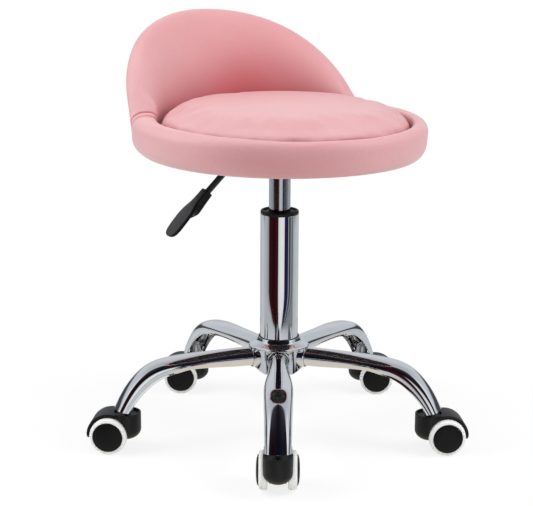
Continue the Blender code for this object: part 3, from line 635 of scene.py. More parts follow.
def dressed_section(phi):
    """The section with its seams pressed in and the cover's soft unevenness."""
    points, seam = cover_section(phi)
    along = np.roll(points, -1, 0) - np.roll(points, 1, 0)
    normal = np.stack([along[:, 1], -along[:, 0]], -1)
    normal = normal / np.maximum(np.linalg.norm(normal, axis=1), 1e-9)[:, None]
    distance, z = points.T
    turn = from_back(phi)
    gap = math.radians(turn - SEAM_DEG) * distance       # towards the front is positive
    push = -1.6 * bell(gap, 0.65) - 0.65 * bell(gap - TOPSTITCH, 0.7)
    push += 0.28 * bell(gap - 2.6, 1.5) + 0.22 * bell(gap + 3.2, 2.4)
    push += 0.15 * bell(gap - TOPSTITCH - 2.6, 1.6)
    back = smooth_step((SEAM_DEG - turn) / 1.2)
    push += back * (-1.9 * bell(seam, 0.9) + 0.25 * bell(np.abs(seam) - 2.4, 1.3))
    angle = math.radians(phi)
    swell = 0.28 * np.sin(3 * angle + 0.031 * z) * np.sin(5 * angle + 1.7)
    swell += 0.16 * np.sin(11 * angle + 0.05 * z + 0.6)
    swell *= np.clip((z - 382.0) / 20.0, 0, 1)
    # Small pleats where the cover turns under the inner edge.
    gather = bell(z - 377.0, 2.6) * np.clip(1 - (distance - opening_at(phi)) / 15.0, 0, 1)
    pleat = 0.75 * math.sin(74 * angle + 1.1 * math.sin(5 * angle))
    pleat += 0.35 * math.sin(47 * angle + 0.4)
    push = push + swell + gather * (pleat - 0.2)
    return points + normal * push[:, None]


def round_the_rim():
    """phi of every section: close together at the two seams, 1.5 degrees elsewhere."""
    fine = [sign * (SEAM_DEG + math.degrees(k * 0.34 / SEAM_R))
            for sign in (1, -1) for k in range(-14, 36)]
    low, high = min(abs(phi) for phi in fine), max(abs(phi) for phi in fine)
    coarse = [k * 1.5 for k in range(-120, 120) if not low - 0.7 < abs(k * 1.5) < high + 0.7]
    return sorted(fine + coarse)


def at_phi(phi, section):
    angle = math.radians(phi)
    return np.stack([AXIS_X + section[:, 0] * math.sin(angle),
                     AXIS_Y + section[:, 0] * math.cos(angle), section[:, 1]], -1)


def painted_shade(mesh, centre, measure):
    """Stores as an attribute how far each point takes the leather's painted shade."""
    points, normal = vectors(mesh, "co") * 1000, vectors(mesh, "normal")
    x, y = points[:, 0] - centre[0], points[:, 1] - centre[1]
    distance = np.maximum(np.hypot(x, y), 1e-6)
    outward = (normal[:, 0] * x + normal[:, 1] * y) / distance
    values = measure(np.degrees(np.arctan2(x, y)), distance, points[:, 2], outward)
    layer = mesh.attributes.new("painted_shade", "FLOAT", "POINT")
    layer.data.foreach_set("value", np.clip(values, 0.0, 1.0).astype(np.float32))


def rim_shade(phi, distance, z, outward):
    """Painted shade: deep at the inner foot of the back, in its hollow; weaker below the crest
    on the camera's side, near the back's top, and in the grooves of the seams and stitches."""
    inside = np.clip((0.30 - outward) / 0.6, 0, 1)
    depth = np.interp(z, (424.0, 440.0, 462.0, 490.0, 520.0, 545.0),
                      (0.80, 0.80, 0.66, 0.42, 0.16, 0.0))
    # painted shade, deep in the hollow at the inner foot of the back
    foot = 0.98 * bell(phi - 12.0, 33.0) * depth * inside
    # painted shade on the ring's lower front wall towards the camera
    from_camera = (phi - VIEW_PHI) % 360.0 - 180.0
    front_shade = 0.27 * bell(from_camera, 30.0) * np.clip((424.0 - z) / 20.0, 0, 1)
    front_shade *= np.clip(outward + 0.2, 0, 1)
    # painted shade that tones down the light near the back's top
    top = 0.15 * np.clip((z - 492.0) / 34.0, 0, 1)
    # painted shade in the grooves of the seam and of the stitched line
    gap = np.radians(np.abs(phi) - SEAM_DEG) * distance
    return foot + front_shade + top + 0.85 * bell(gap, 0.75) + 0.35 * bell(gap - TOPSTITCH, 0.75)


def seat_cover():
    rim = np.array([at_phi(phi, dressed_section(phi)) for phi in round_the_rim()])
    faces = grid_faces(rim.shape[0], rim.shape[1], True, True)
    obj = new_object("seat_cover", rim, faces, LEATHER, smooth=0)
    painted_shade(obj.data, COLUMN, rim_shade)
    return obj


STITCH, STITCH_GAP, STITCH_R = 3.0, 1.5, 0.5
STITCH_FLOOR = 384.0               # stitches show only above this height


def stitch_line(phi):
    section = dressed_section(phi)
    path = at_phi(phi, section[section[:, 1] > STITCH_FLOOR])
    run = np.r_[0, np.cumsum(np.linalg.norm(np.diff(path, axis=0), axis=1))]

    def on_path(length):
        return np.array([np.interp(length, run, path[:, k]) for k in range(3)])

    out, length = [], 1.0
    while length + STITCH < run[-1] - 4.0:
        out.append((on_path(length), on_path(length + STITCH)))
        length += STITCH + STITCH_GAP
    return out


def seam_stitches():
    phi = SEAM_DEG + math.degrees(TOPSTITCH / SEAM_R)
    return capsules("seam_stitches", stitch_line(phi) + stitch_line(-phi), STITCH_R, THREAD)


piece(seat_cover(), "seat", "leatherette", "seat_ring", "backrest")
piece(seam_stitches(), "seat", "leatherette")

# ------------------------------------------------------------- seat: cushion
CUSHION_R = 158.5
# Crown of the cushion: distance from its middle, height.
CUSHION_TOP = [
    (0, 450.2), (60, 448.9), (110, 445.3), (130, 442.0),
    (145, 437.6), (152, 434.8), (157.0, 430.8), (CUSHION_R, 422.5),
]
BOARD_TOP = heights("seat_board")[1]


def cushion_profile(shrink):
    count = 26
    rows = [through(CUSHION_TOP, k / count) for k in range(count + 1)]
    rows = [(max(0.0, x - shrink * x / CUSHION_R), z - shrink) for x, z in rows]
    side = CUSHION_R - shrink
    rows += [(side, 412.0), (side, 407.0), (side, 403.0)]
    rows += [(side - 1.2, BOARD_TOP + 0.9), (side - 3.5, BOARD_TOP + 0.4)]
    rows += [(x, BOARD_TOP + 0.4) for x in (140.0, 110.0, 80.0, 50.0, 25.0, 0.0)]
    return rows


def puffed(obj, limit):
    """Swells a closed padded form as cloth under pressure; no point moves past limit (m)."""
    remesh = obj.modifiers.new("remesh", "REMESH")
    remesh.mode, remesh.voxel_size = "VOXEL", 0.0055
    mesh = apply_modifiers(obj)
    start = vectors(mesh, "co", np.float32)
    group = obj.vertex_groups.new(name="resting")
    floor_z = start[:, 2].min()
    resting = np.nonzero(start[:, 2] < floor_z + 0.003)[0]
    group.add([int(i) for i in resting], 1.0, "REPLACE")
    cloth = obj.modifiers.new("cloth", "CLOTH")
    settings = cloth.settings
    settings.quality = 5
    settings.mass = 0.3
    settings.tension_stiffness = settings.compression_stiffness = 15
    settings.shear_stiffness = 8
    settings.bending_stiffness = 2.0
    settings.use_pressure = True
    settings.uniform_pressure_force = 4.0
    settings.vertex_group_mass = "resting"
    settings.effector_weights.gravity = 0.0
    cloth.collision_settings.use_collision = False
    cloth.collision_settings.use_self_collision = False
    cloth.point_cache.frame_start, cloth.point_cache.frame_end = 1, 20
    for number in range(1, 21):
        scene.frame_set(number)
    swollen = obj.evaluated_get(bpy.context.evaluated_depsgraph_get()).to_mesh()
    end = vectors(swollen, "co", np.float32)
    obj.modifiers.clear()
    scene.frame_set(1)
    move = end - start
    far = np.linalg.norm(move, axis=1)
    move *= np.minimum(1.0, limit / np.maximum(far, 1e-9))[:, None]
    mesh.vertices.foreach_set("co", (start + move).ravel())
    mesh.update()


def settle(mesh):
    """Fits the cushion to the opening and gives its top a used look."""
    points = vectors(mesh, "co") * 1000
    points[:, :2] *= 158.7 / np.hypot(points[:, 0], points[:, 1]).max()
    x, y, z = points.T
    radius, angle = np.hypot(x, y), np.arctan2(y, x)
    top_z = np.interp(radius, *zip(*CUSHION_TOP))
    near_top = np.clip((z - top_z + 8.0) / 6.0, 0, 1)
    tug = np.clip((radius - 118.0) / 34.0, 0, 1) * near_top      # ripples near the edge
    z += tug * (0.06 * np.sin(31 * angle + 1.3 * np.sin(3 * angle))
                + 0.04 * np.sin(53 * angle + 0.7))
    deep, side = DEEP_X * x + DEEP_Y * y, DEEP_Y * x - DEEP_X * y
    to_camera = np.clip(-deep / np.maximum(radius, 1e-6), 0, 1) ** 1.5
    z -= near_top * to_camera * 3.4 * bell(radius - 148.0, 13.0)    # flatter edge there
    z += near_top * 0.30 * np.sin(x / 41.0 + 0.4) * np.sin(y / 37.0 + 1.1)
    z += near_top * (0.005 * deep - 0.003 * side)                # slight tilt
    points[:, :2] *= np.minimum(1.0, 158.9 / np.maximum(radius, 1e-6))[:, None]
    points[:, 2] = np.clip(z, BOARD_TOP + 0.25, 452.5)
    mesh.vertices.foreach_set("co", (points / 1000).ravel())
    mesh.update()
    mesh.shade_smooth()


def cushion_shade(phi, distance, z, outward):
    """Painted shade, deeper towards the side away from the camera, where the back shades the
    cushion.
    """
    away = distance * np.cos(np.radians(phi - VIEW_PHI))
    return 0.54 * np.clip((away + 60.0) / 175.0, 0, 1) ** 1.1


def seat_cushion():
    obj = lathe("cushion", cushion_profile(2.6), LEATHER, steps=120,
                location=(AXIS_X, AXIS_Y - OPENING_SHIFT, 0))
    puffed(obj, limit=0.0045)
    fine = obj.modifiers.new("fine", "SUBSURF")
    fine.levels = fine.render_levels = 1
    mesh = apply_modifiers(obj)
    settle(mesh)
    painted_shade(mesh, (0.0, 0.0), cushion_shade)
    if not mesh.materials:         # the remesh may have dropped it
        mesh.materials.append(LEATHER)
    return obj


piece(seat_cushion(), "seat", "leatherette", "seat_cushion")

# --------------------------------------------------------- seat: underside
COVER_Z = middle("dust_cover").z
# Distances of the cloth's rows, from the plate's middle to the rim.
CLOTH_ROWS = (32.5, 33.5, 40, 55, 70, 86, 95, 104, 113, 122, 130, 137, 143, 148,
              151, 153.5, 155.5, 157.0, 158.2, 158.9)


def dust_cover():
    count = 180
    rows = []
    for i in range(count):
        angle = 2 * math.pi * i / count
        row = []
        for radius in CLOTH_ROWS:
            free = smooth_step((radius - 92.0) / 18.0) * smooth_step((152.0 - radius) / 12.0)
            sag = -1.6 * free * (0.6 + 0.25 * math.sin(7 * angle + radius * 0.05)
                                 + 0.15 * math.sin(19 * angle - radius * 0.09))
            pull = -0.5 * bell(radius - 154, 4.0) * math.sin(18 * angle + 0.3) ** 2
            shift = OPENING_SHIFT * smooth_step((radius - 60) / 90)
            row.append((AXIS_X + radius * math.cos(angle),
                        AXIS_Y - shift + radius * math.sin(angle),
                        COVER_Z - 0.15 + sag + pull))
        rows.append(row)
    faces = grid_faces(count, len(CLOTH_ROWS), True, False)
    obj = new_object("dust_cover_cloth", rows, faces, FLEECE, smooth=0)
    solid = obj.modifiers.new("cloth_thickness", "SOLIDIFY")
    solid.thickness = 0.35 * UNIT
    solid.offset = 0.0
    return obj


def cover_staples():
    """36 staples, a little uneven; each is a crown and two short legs."""
    bars = []
    for i in range(36):
        angle = 2 * math.pi * (i + 0.37) / 36 + 0.02 * math.sin(5 * i)
        radius = 151.5 + 1.2 * math.sin(3.1 * i)
        centre = np.array((AXIS_X + radius * math.cos(angle),
                           AXIS_Y - OPENING_SHIFT + radius * math.sin(angle), COVER_Z - 0.75))
        lean = angle + math.pi / 2 + 0.25 * math.sin(2.3 * i)
        half = np.array((math.cos(lean), math.sin(lean), 0.0)) * 5.0
        first, last = centre - half, centre + half
        leg = (0, 0, 1.2)
        bars += [(first, last), (first, first + leg), (last, last + leg)]
    return capsules("cover_staples", bars, 0.34, ZINC)


piece(dust_cover(), "seat", "fleece", "dust_cover")
piece(cover_staples(), "seat", "zinc")

# -------------------------------------------------- seat: plate, boss, screws
PLATE_LOW, PLATE_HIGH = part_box("seat_plate")
BOSS_BOTTOM, PLATE_TOP = heights("seat_plate")
PLATE_HALF = (PLATE_HIGH.x - PLATE_LOW.x) * 500
PLATE_THICK = 3.0
CYL_R = 14.0
LEVER_Z = 374.0


def plate():
    """Rounded square with softened edges and a ring pressed in its lower face."""
    steps, power = 168, 5.5
    insets = (0.0, 0.5, 1.4, 3.0, 6.0, 10.0)
    rings = (38.0, 34.5, 31.5, 27.0, 18.2)
    lower = PLATE_TOP - PLATE_THICK
    levels = [PLATE_TOP - 0.5] + [PLATE_TOP] * 13
    levels += [lower] * 2 + [lower + 0.7] * 2 + [lower] * 9 + [lower + 0.5]
    verts = []
    for i in range(steps):
        angle = 2 * math.pi * (i + 0.5) / steps
        x, y = math.cos(angle), math.sin(angle)
        round_off = (abs(x) ** power + abs(y) ** power) ** (1 / power)
        edge = [(PLATE_HALF - inset) / round_off for inset in insets]
        field = [max(40.0, edge[-1] * share) for share in (0.85, 0.72, 0.6)]
        radii = [*edge, *field, *rings, *rings[::-1], *field, *edge[::-1]]
        verts += [(AXIS_X + radius * x, AXIS_Y + radius * y, z)
                  for radius, z in zip(radii, levels)]
    return new_object("seat_plate_pressing", verts, grid_faces(steps, len(levels), True, True),
                      PAINT, smooth=40)


def boss():
    """Collar below the plate, with a slot for the lever on its -X side."""
    bore = CYL_R + 0.45
    obj = lathe("lift_boss", [
        (bore, BOSS_BOTTOM + 0.6, 0.3), (CYL_R + 1.1, BOSS_BOTTOM, 0.3),
        (22.0, BOSS_BOTTOM, 2.0), (25.0, BOSS_BOTTOM + 5.0, 2.0), (25.0, PLATE_TOP - 6.4, 2.5),
        (28.2, PLATE_TOP - 3.1, 1.0), (28.2, PLATE_TOP - 2.9), (18.0, PLATE_TOP - 2.9),
        (18.0, 365.4, 0.6), (bore, 364.8, 0.3),
    ], PAINT, ring=True, location=COLUMN)
    slot = box("slot_cut", (-40, -5.2, LEVER_Z - 5.2), (0, 5.2, LEVER_Z + 4.6), PAINT,
               bevel=1.6, location=COLUMN)
    return carve(obj, [slot], soften=0.35)


def screw_mesh():
    """Pointed screw, head down, with a cross recess."""
    head = lathe("screw_head", [
        (0, 396.0), (0.6, 395.6), (2.3, 391.5, 0.3), (2.3, 381.3, 0.3), (5.6, 381.15, 0.5),
        (5.5, 379.9, 0.8), (3.4, 378.1, 1.5), (0, 377.7),
    ], ZINC, steps=40)
    cross = [box("cross", (-x, -y, 376.0), (x, y, 379.6), ZINC, bevel=0.2, segments=1)
             for x, y in ((2.6, 0.55), (0.55, 2.6))]
    return drop(carve(head, cross))


piece(plate(), "seat", "black_paint", "seat_plate")
piece(boss(), "seat", "black_paint")
screw = screw_mesh()
for i in range(4):
    spot = middle(f"seat_screw_{i + 1}")
    obj = link(f"plate_screw_{i + 1}", screw, (spot.x, spot.y, 0), turn=17 + 31 * i)
    piece(obj, "seat", "zinc", f"seat_screw_{i + 1}")

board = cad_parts["seat_board"]
board.data.materials.clear()
board.data.materials.append(PLYWOOD)

# ------------------------------------------------------------------ gas lift
CYL_LOW, CYL_HIGH = heights("gas_cylinder")
TUBE_LOW, TUBE_HIGH = heights("outer_tube")
TUBE_R = 25.0
BUTTON_TOP = heights("release_button")[1]


def clip():
    """Spring clip: a flat ring with a gap towards +X and widened ends."""
    verts, steps = [], 60
    for i in range(steps + 1):
        angle = math.radians(18 + 324 * i / steps)
        wide = 9.0 - 1.4 * abs(math.cos(angle / 2)) + (1.6 if min(i, steps - i) < 3 else 0.0)
        for radius, z in ((4.35, 89.65), (wide, 89.65), (wide, 90.75), (4.35, 90.75)):
            verts.append((AXIS_X + radius * math.cos(angle),
                          AXIS_Y + radius * math.sin(angle), z))
    faces = grid_faces(steps + 1, 4, False, True)
    faces += [[0, 1, 2, 3], [steps * 4 + k for k in (3, 2, 1, 0)]]
    return new_object("spring_clip", verts, faces, STEEL, smooth=30)


piece(lathe("lift_cylinder", [
    (4.05, CYL_HIGH), (12.2, CYL_HIGH, 1.2), (CYL_R, CYL_HIGH - 3.4, 1.5),
    (CYL_R, CYL_LOW + 1.5, 0.8), (12.5, CYL_LOW, 0.5), (5.4, CYL_LOW, 0.3), (5.4, CYL_LOW + 6),
    (12.0, CYL_LOW + 6), (12.0, CYL_HIGH - 6), (4.05, CYL_HIGH - 6),
], CYLINDER_CHROME, ring=True, location=COLUMN), "seat", "chrome", "gas_cylinder")
piece(lathe("lift_tube", [
    (22.6, TUBE_HIGH, 0.3), (TUBE_R, TUBE_HIGH, 0.7), (TUBE_R, 124.0, 3.0),
    (24.0, TUBE_LOW, 1.0), (5.5, TUBE_LOW, 0.3), (5.5, TUBE_LOW + 3, 0.3),
    (21.6, TUBE_LOW + 3, 0.5), (22.6, 124.0, 1.0),
], COLUMN_CHROME, steps=128, ring=True, location=COLUMN), "base", "chrome", "outer_tube")
piece(lathe("column_bushing", [
    (14.35, 3.0, 0.4), (15.6, 3.6, 0.5), (17.0, 3.0, 0.6), (18.0, 2.0, 0.8), (21.6, 2.2, 0.8),
    (22.6, 4.3, 0.7), (24.3, 4.2, 0.9), (24.95, 2.6, 0.8), (24.95, 0.25, 0.35), (22.3, 0.25),
    (22.3, -78.0, 0.5), (14.35, -78.0, 0.5),
], NYLON, steps=128, base=TUBE_HIGH, ring=True, location=COLUMN),
    "base", "black_nylon", "guide_bushing")
piece(lathe("bearing_race", [
    (5.4, 8.6, 0.2), (14.0, 8.6, 0.4), (14.0, 6.6, 0.2), (13.2, 6.3, 0.2), (13.2, 5.6, 0.2),
    (14.0, 5.3, 0.2), (14.0, 3.3, 0.4), (5.4, 3.3, 0.2),
], STEEL, steps=64, base=TUBE_LOW, ring=True, location=COLUMN),
    "base", "steel", "thrust_bearing")
piece(lathe("lift_rod", [
    (0, 246.0), (11.7, 246.0, 0.6), (11.7, 242.5, 0.2), (10.8, 242.2, 0.3), (10.8, 239.8, 0.3),
    (11.7, 239.5, 0.2), (11.7, 236.0, 0.6), (5.0, 236.0, 0.4), (5.0, 103.6, 0.3),
    (8.5, 103.6, 0.5), (8.5, 100.9, 0.5), (5.0, 100.9, 0.3), (5.0, 91.2, 0.2), (3.9, 91.2, 0.2),
    (3.9, 89.2, 0.2), (5.0, 89.2, 0.2), (5.0, 86.9, 0.4), (4.3, 86.4, 0.3), (0, 86.4),
], STEEL, steps=48, location=COLUMN), "column_rod", "steel", "piston_rod")
piece(clip(), "base", "steel", "retaining_clip")
piece(lathe("valve_pin", [
    (0, 0), (3.3, -0.1, 0.8), (3.75, -1.0, 0.5), (3.75, -11.4, 0.4), (0, -11.5),
], STEEL, steps=40, base=BUTTON_TOP, location=COLUMN), "valve_button", "steel", "release_button")

# ---------------------------------------------------------------------- base
FIRST_ARM_DEG, ARM_STEP = 239.0, 72.0    # the first arm points at the camera
ARM_WALL, ARM_ROOT_R, ARM_ROOT_Z = 1.6, 28.6, 111.0
HUB_TOP, HUB_BOTTOM, LOBE_CREST = 136.5, 89.0, 126.0
HUB_BORE_R, HUB_LOBE_R, SKIRT_R = 25.35, 39.5, 36.5


def lobe(angle, crest, dip):
    """Runs from crest over each arm to dip in the valleys between arms."""
    wave = 0.5 + 0.5 * math.cos(math.radians(5 * (angle - FIRST_ARM_DEG)))
    return blend(dip, crest, wave ** 0.85)


def on_arms(make):
    """One turned object per arm, laid along it through the arm's root."""
    out = []
    for k in range(5):
        obj = make()
        turn = math.radians(FIRST_ARM_DEG + ARM_STEP * k)
        obj.rotation_euler = (0, math.radians(90), turn)
        obj.location = Vector((AXIS_X, AXIS_Y, ARM_ROOT_Z)) * UNIT
        out.append(obj)
    return out


def arm_opening():
    return lathe("arm_opening", [(0, 60), (13.3, 60), (13.3, 28.45), (0, 28.45)], CHROME,
                 steps=48)


def arm_sleeve():
    return lathe("arm_sleeve", [
        (13.3, 29.0, 0.3), (13.3, 38.4, 0.5), (14.1, 38.6, 0.5), (14.9, 37.2, 1.0),
        (14.7, 29.0, 0.3),
    ], CHROME, steps=72, ring=True)


def hub():
    rings, steps = [], 200
    for i in range(steps):
        angle = 360.0 * i / steps + FIRST_ARM_DEG
        brim = lobe(angle, HUB_LOBE_R + 1.8, HUB_LOBE_R - 1.6)
        skirt = lobe(angle, SKIRT_R, SKIRT_R - 5.6)
        hem = lobe(angle, HUB_BOTTOM + 8.5, HUB_BOTTOM)
        section = filleted([
            (26.7, 133.0), (26.7, HUB_TOP - 0.6, 0.3), (27.6, HUB_TOP, 0.5), (29.0, 131.0, 4.0),
            (brim - 2.2, LOBE_CREST + 1.5, 2.6), (brim, LOBE_CREST - 1.0, 1.1),
            (skirt, LOBE_CREST - 4.4, 1.0), (skirt - 0.6, hem, 1.0), (skirt - 3.2, hem, 1.0),
            (skirt - 2.6, 120.4, 1.2), (27.6, 124.4, 0.6), (27.6, HUB_BOTTOM + 2.0, 0.6),
            (HUB_BORE_R, HUB_BOTTOM + 2.0, 0.5), (HUB_BORE_R, 133.0),
        ], closed=True, arc=4)
        x, y = math.cos(math.radians(angle)), math.sin(math.radians(angle))
        rings.append([(AXIS_X + radius * x, AXIS_Y + radius * y, z) for radius, z in section])
    faces = grid_faces(steps, len(rings[0]), True, True)
    obj = new_object("hub_star", rings, faces, CHROME)
    carve(obj, on_arms(arm_opening), soften=0.4)
    return joined("hub_star", [obj] + on_arms(arm_sleeve))


piece(hub(), "base", "chrome", "base_hub")
# A black nylon ring fills the gap at the tube's foot and stands in for the shade in that gap.
piece(lathe("foot_gap_shade_ring", [
    (25.1, 133.2, 0.2), (26.6, 133.2, 0.2), (26.65, 135.7, 0.3), (25.9, 136.2, 0.3),
    (25.1, 135.9, 0.2),
], NYLON, ring=True, location=COLUMN), "base", "black_nylon")

# Stations along an arm: distance and height of the section's top, the same of its
# bottom, width, and how far (degrees) the sheet folds round below the section's waist.
ARM_LINE = [
    (ARM_ROOT_R, 123.8, ARM_ROOT_R, 98.2, 25.6, 87.4),
    (62.0, 123.6, 62.0, 99.0, 26.0, 87.4),
    (95.0, 122.6, 94.0, 101.0, 29.5, 86.5),
    (124.0, 121.2, 121.0, 102.4, 34.5, 70.0),
    (148.0, 118.8, 140.0, 102.6, 36.2, 40.0),
    (166.0, 115.4, 154.0, 100.4, 35.6, 26.0),
    (180.0, 109.6, 166.5, 95.0, 34.4, 22.0),
    (192.5, 99.8, 177.8, 87.4, 33.2, 21.0),
    (204.0, 86.6, 188.6, 77.4, 32.2, 20.0),
    (213.5, 71.6, 198.6, 65.6, 31.5, 20.0),
    (220.6, 57.6, 206.4, 53.9, 31.0, 20.0),
]


def edge_round(start, end):
    """Half round from one face of the sheet to the other, bulging downwards."""
    start, end = np.array(start), np.array(end)
    centre, radius = (start + end) / 2, np.linalg.norm(start - end) / 2
    across = (start - centre) / radius
    out = np.array((across[1], -across[0]))
    if out[1] > 0:
        out = -out
    return [tuple(centre + radius * (across * math.cos(angle) + out * math.sin(angle)))
            for angle in (math.pi * k / 5 for k in range(1, 5))]


def arm_ring(share, count):
    """Folded section with rolled lips along the edges of its open part."""
    top_r, top_z, low_r, low_z, width, fold = through(ARM_LINE, share)
    upward = np.array((top_r - low_r, 0.0, top_z - low_z))
    height = np.linalg.norm(upward)
    upward /= height
    power = 2.0 / blend(2.0, 2.5, (87.0 - fold) / 60.0)
    edge = math.radians(fold)
    half = height / (1 + math.sin(edge) ** power)
    centre = np.array((top_r, 0.0, top_z)) - upward * half
    lip = smooth_step((72.0 - fold) / 40.0) * 1.5
    sides = []
    for wall in (0.0, ARM_WALL):
        side = []
        for i in range(count):
            part = i / (count - 1)
            angle = -edge + (math.pi + 2 * edge) * part
            x, y = math.cos(angle), math.sin(angle)
            x = math.copysign(abs(x) ** power, x) * (width / 2 - wall)
            y = math.copysign(abs(y) ** power, y) * (half - wall)
            near = max(0.0, 1 - min(part, 1 - part) * (count - 1) / 3.2)
            side.append((x + math.copysign(lip * near ** 1.6, x), y))
        sides.append(side)
    outer, inner = sides
    flat = (outer + edge_round(outer[-1], inner[-1])
            + inner[::-1] + edge_round(inner[0], outer[0]))
    return [centre + upward * y + np.array((0.0, x, 0.0)) for x, y in flat]


def arm_shell():
    count, stations = 46, 72
    rings = np.array([arm_ring(i / (stations - 1), count) for i in range(stations)])
    around = rings.shape[1]
    faces = grid_faces(stations, around, False, True)
    for row, flip in ((0, False), (stations - 1, True)):     # end faces of the sheet
        start = row * around
        outer = [start + k for k in range(count)]
        inner = [start + 2 * count + 3 - k for k in range(count)]
        for k in range(count - 1):
            quad = [outer[k], outer[k + 1], inner[k + 1], inner[k]]
            faces.append(quad[::-1] if flip else quad)
        faces.append([inner[0]] + [start + around - 4 + k for k in range(4)] + [outer[0]])
        faces.append([outer[-1]] + [start + count + k for k in range(4)] + [inner[-1]])
    return drop(new_object("arm_shell", rings, faces, CHROME, smooth=42))


def arm_socket():
    """Sleeve for the caster's stem under the arm's end, with a small block outside it."""
    sleeve = lathe("socket_sleeve", [
        (5.75, 69.0, 0.3), (6.7, 69.0, 0.6), (8.2, 59.6, 3.0), (9.4, 57.2, 0.6), (9.2, 56.7, 0.3),
        (5.75, 56.6, 0.4),
    ], STEM_STEEL, steps=64, ring=True, location=(206.0, 0, 0))
    gusset = box("gusset", (212.6, -4.0, 59.5), (216.3, 4.0, 64.3), STEM_STEEL, bevel=0.7)
    return drop(joined("arm_socket", [sleeve, gusset]))


shell, socket = arm_shell(), arm_socket()
for k in range(5):
    turn = FIRST_ARM_DEG + ARM_STEP * k
    obj = link(f"arm_shell_{k + 1}", shell, COLUMN, turn)
    piece(obj, "base", "chrome", f"base_arm_{k + 1}")
    piece(link(f"arm_socket_{k + 1}", socket, COLUMN, turn), "base", "chrome")

# --------------------------------------------------------------------- lever
# Points of the lever lie in the XZ plane, measured from the column's axis.
LEVER_R, GRIP_BORE_R = 4.0, 4.25
GRIP_TOP, GRIP_TIP = np.array((-105.2, 0.0, 339.8)), np.array((-159.5, 0.0, 289.2))
GRIP_DIR = (GRIP_TIP - GRIP_TOP) / np.linalg.norm(GRIP_TIP - GRIP_TOP)
GRIP_UP = np.array((GRIP_DIR[2], 0.0, -GRIP_DIR[0]))
BEND = GRIP_TOP - GRIP_DIR * (LEVER_Z - GRIP_TOP[2]) / abs(GRIP_DIR[2])
BEND_REACH = 9.0                   # length of the bend on each side of its corner


def circle(point, along, radius, count):
    """Ring of points square to a direction in the lever's plane."""
    sideways = np.array((0, 1, 0))
    over = np.cross(sideways, along)
    return [point + COLUMN + sideways * radius * math.cos(angle) + over * radius * math.sin(angle)
            for angle in (2 * math.pi * j / count for j in range(count))]


def lever_rod():
    start = np.array((BEND[0] + BEND_REACH, 0, LEVER_Z))
    end = BEND + GRIP_DIR * BEND_REACH
    points = [np.array((x, 0, LEVER_Z)) for x in (4.0, 3.2, -10.0, -25.0, -40.0)]
    for k in range(13):
        t = k / 12
        points.append(start * (1 - t) ** 2 + BEND * 2 * t * (1 - t) + end * t * t)
    points += [GRIP_TOP - GRIP_DIR * 12, GRIP_TOP, GRIP_TOP + GRIP_DIR * 26.0]
    rings = []
    for i, point in enumerate(points):
        along = points[min(i + 1, len(points) - 1)] - points[max(i - 1, 0)]
        along = along / np.linalg.norm(along)
        rings.append(circle(point, along, LEVER_R - (0.7 if i == 0 else 0.0), 32))
    return loft("lever_arm", rings, PAINT, smooth=40)


# Stations down the grip: distance, half width, height of the top and of the paddle's
# underside, half width of the keel and height of its bottom.
GRIP_ROWS = [
    (0.0, 5.4, 5.4, 2.4, 5.3, -5.4), (1.0, 6.1, 6.0, 2.8, 6.0, -6.0),
    (10.0, 6.3, 6.0, 2.8, 6.1, -6.8), (18.0, 6.9, 5.9, 2.5, 6.1, -7.8),
    (24.0, 8.3, 5.8, 2.2, 6.0, -8.6), (28.5, 10.2, 5.6, 1.8, 5.9, -8.9),
    (33.0, 12.0, 5.4, 1.4, 5.5, -7.6), (38.0, 13.0, 5.2, 1.0, 5.0, -5.4),
    (43.0, 13.4, 5.0, 0.6, 4.4, -3.2), (48.0, 13.5, 4.7, 0.3, 3.6, -1.6),
    (56.0, 13.3, 4.1, -0.4, 3.0, -1.3), (63.0, 12.8, 3.5, -0.9, 2.6, -1.6),
    (68.5, 11.4, 3.0, -1.1, 2.4, -1.6), (72.0, 8.8, 2.6, -0.9, 2.0, -1.3),
    (74.2, 4.8, 2.2, -0.2, 1.2, -0.5),
]


def grip():
    """Flat paddle on a keeled grip; the top is flat with thin rounded edges."""
    rings, steps = [], 80
    for i in range(steps + 1):
        along, half_w, top, under, keel, bottom = through(GRIP_ROWS, i / steps)
        edge = min(1.1, half_w * 0.3, (top - under) * 0.45)
        under_w = half_w - 0.02
        if half_w - keel > 1.2:
            under_w = max(keel, half_w - edge * 0.6)
        half = filleted([
            (0.0, top), (half_w, top, edge), (half_w, under, edge), (under_w, under - 0.02),
            (keel, min(under - 0.1, bottom + 2.0), 0.8), (keel * 0.74, bottom, 1.4),
            (0.0, bottom),
        ], arc=4)
        ring = half + [(-y, z) for y, z in reversed(half[1:-1])]
        rings.append([GRIP_TOP + GRIP_DIR * along + np.array((0, 1, 0)) * y + GRIP_UP * z + COLUMN
                      for y, z in ring])
    obj = loft("lever_paddle", rings, GRIP_NYLON, smooth=50)
    bore = [circle(GRIP_TOP + GRIP_DIR * along, GRIP_DIR, GRIP_BORE_R, 40)
            for along in (-6, 26.4)]
    carve(obj, [loft("bore", bore, GRIP_NYLON)], smooth=45)
    obj.data.materials.append(CAP_NYLON_AND_GRIP_SHADE)                 # the sides take the darker cap nylon as painted shade
    # Painted shade: faces that do not face up take the darker nylon, as if in shade.
    for face in obj.data.polygons:
        face.material_index = 0 if face.normal.dot(Vector(GRIP_UP)) > 0.55 else 1
    return obj


piece(lever_rod(), "lever", "black_paint", "lever_rod")
piece(grip(), "lever", "black_nylon", "lever_grip")

# ------------------------------------------------------------------- casters
# Each caster stands with its stem on Z and its axle along Y, TRAIL away at +X.
TRAIL, WHEEL_R, WEB_HALF, ROOM_R = 21.0, 24.0, 12.2, 25.3
BARREL_R, BARREL_BOTTOM, BARREL_ROUND, BARREL_TOP = 18.4, 15.5, 14.0, 52.0
FENDER_IN, FENDER_OUT, FENDER_HALF = 26.0, 28.7, 17.2
FENDER_HIGH_DEG, FENDER_LOW_DEG = 124.0, -9.0    # the fender's ends, round the axle from +X


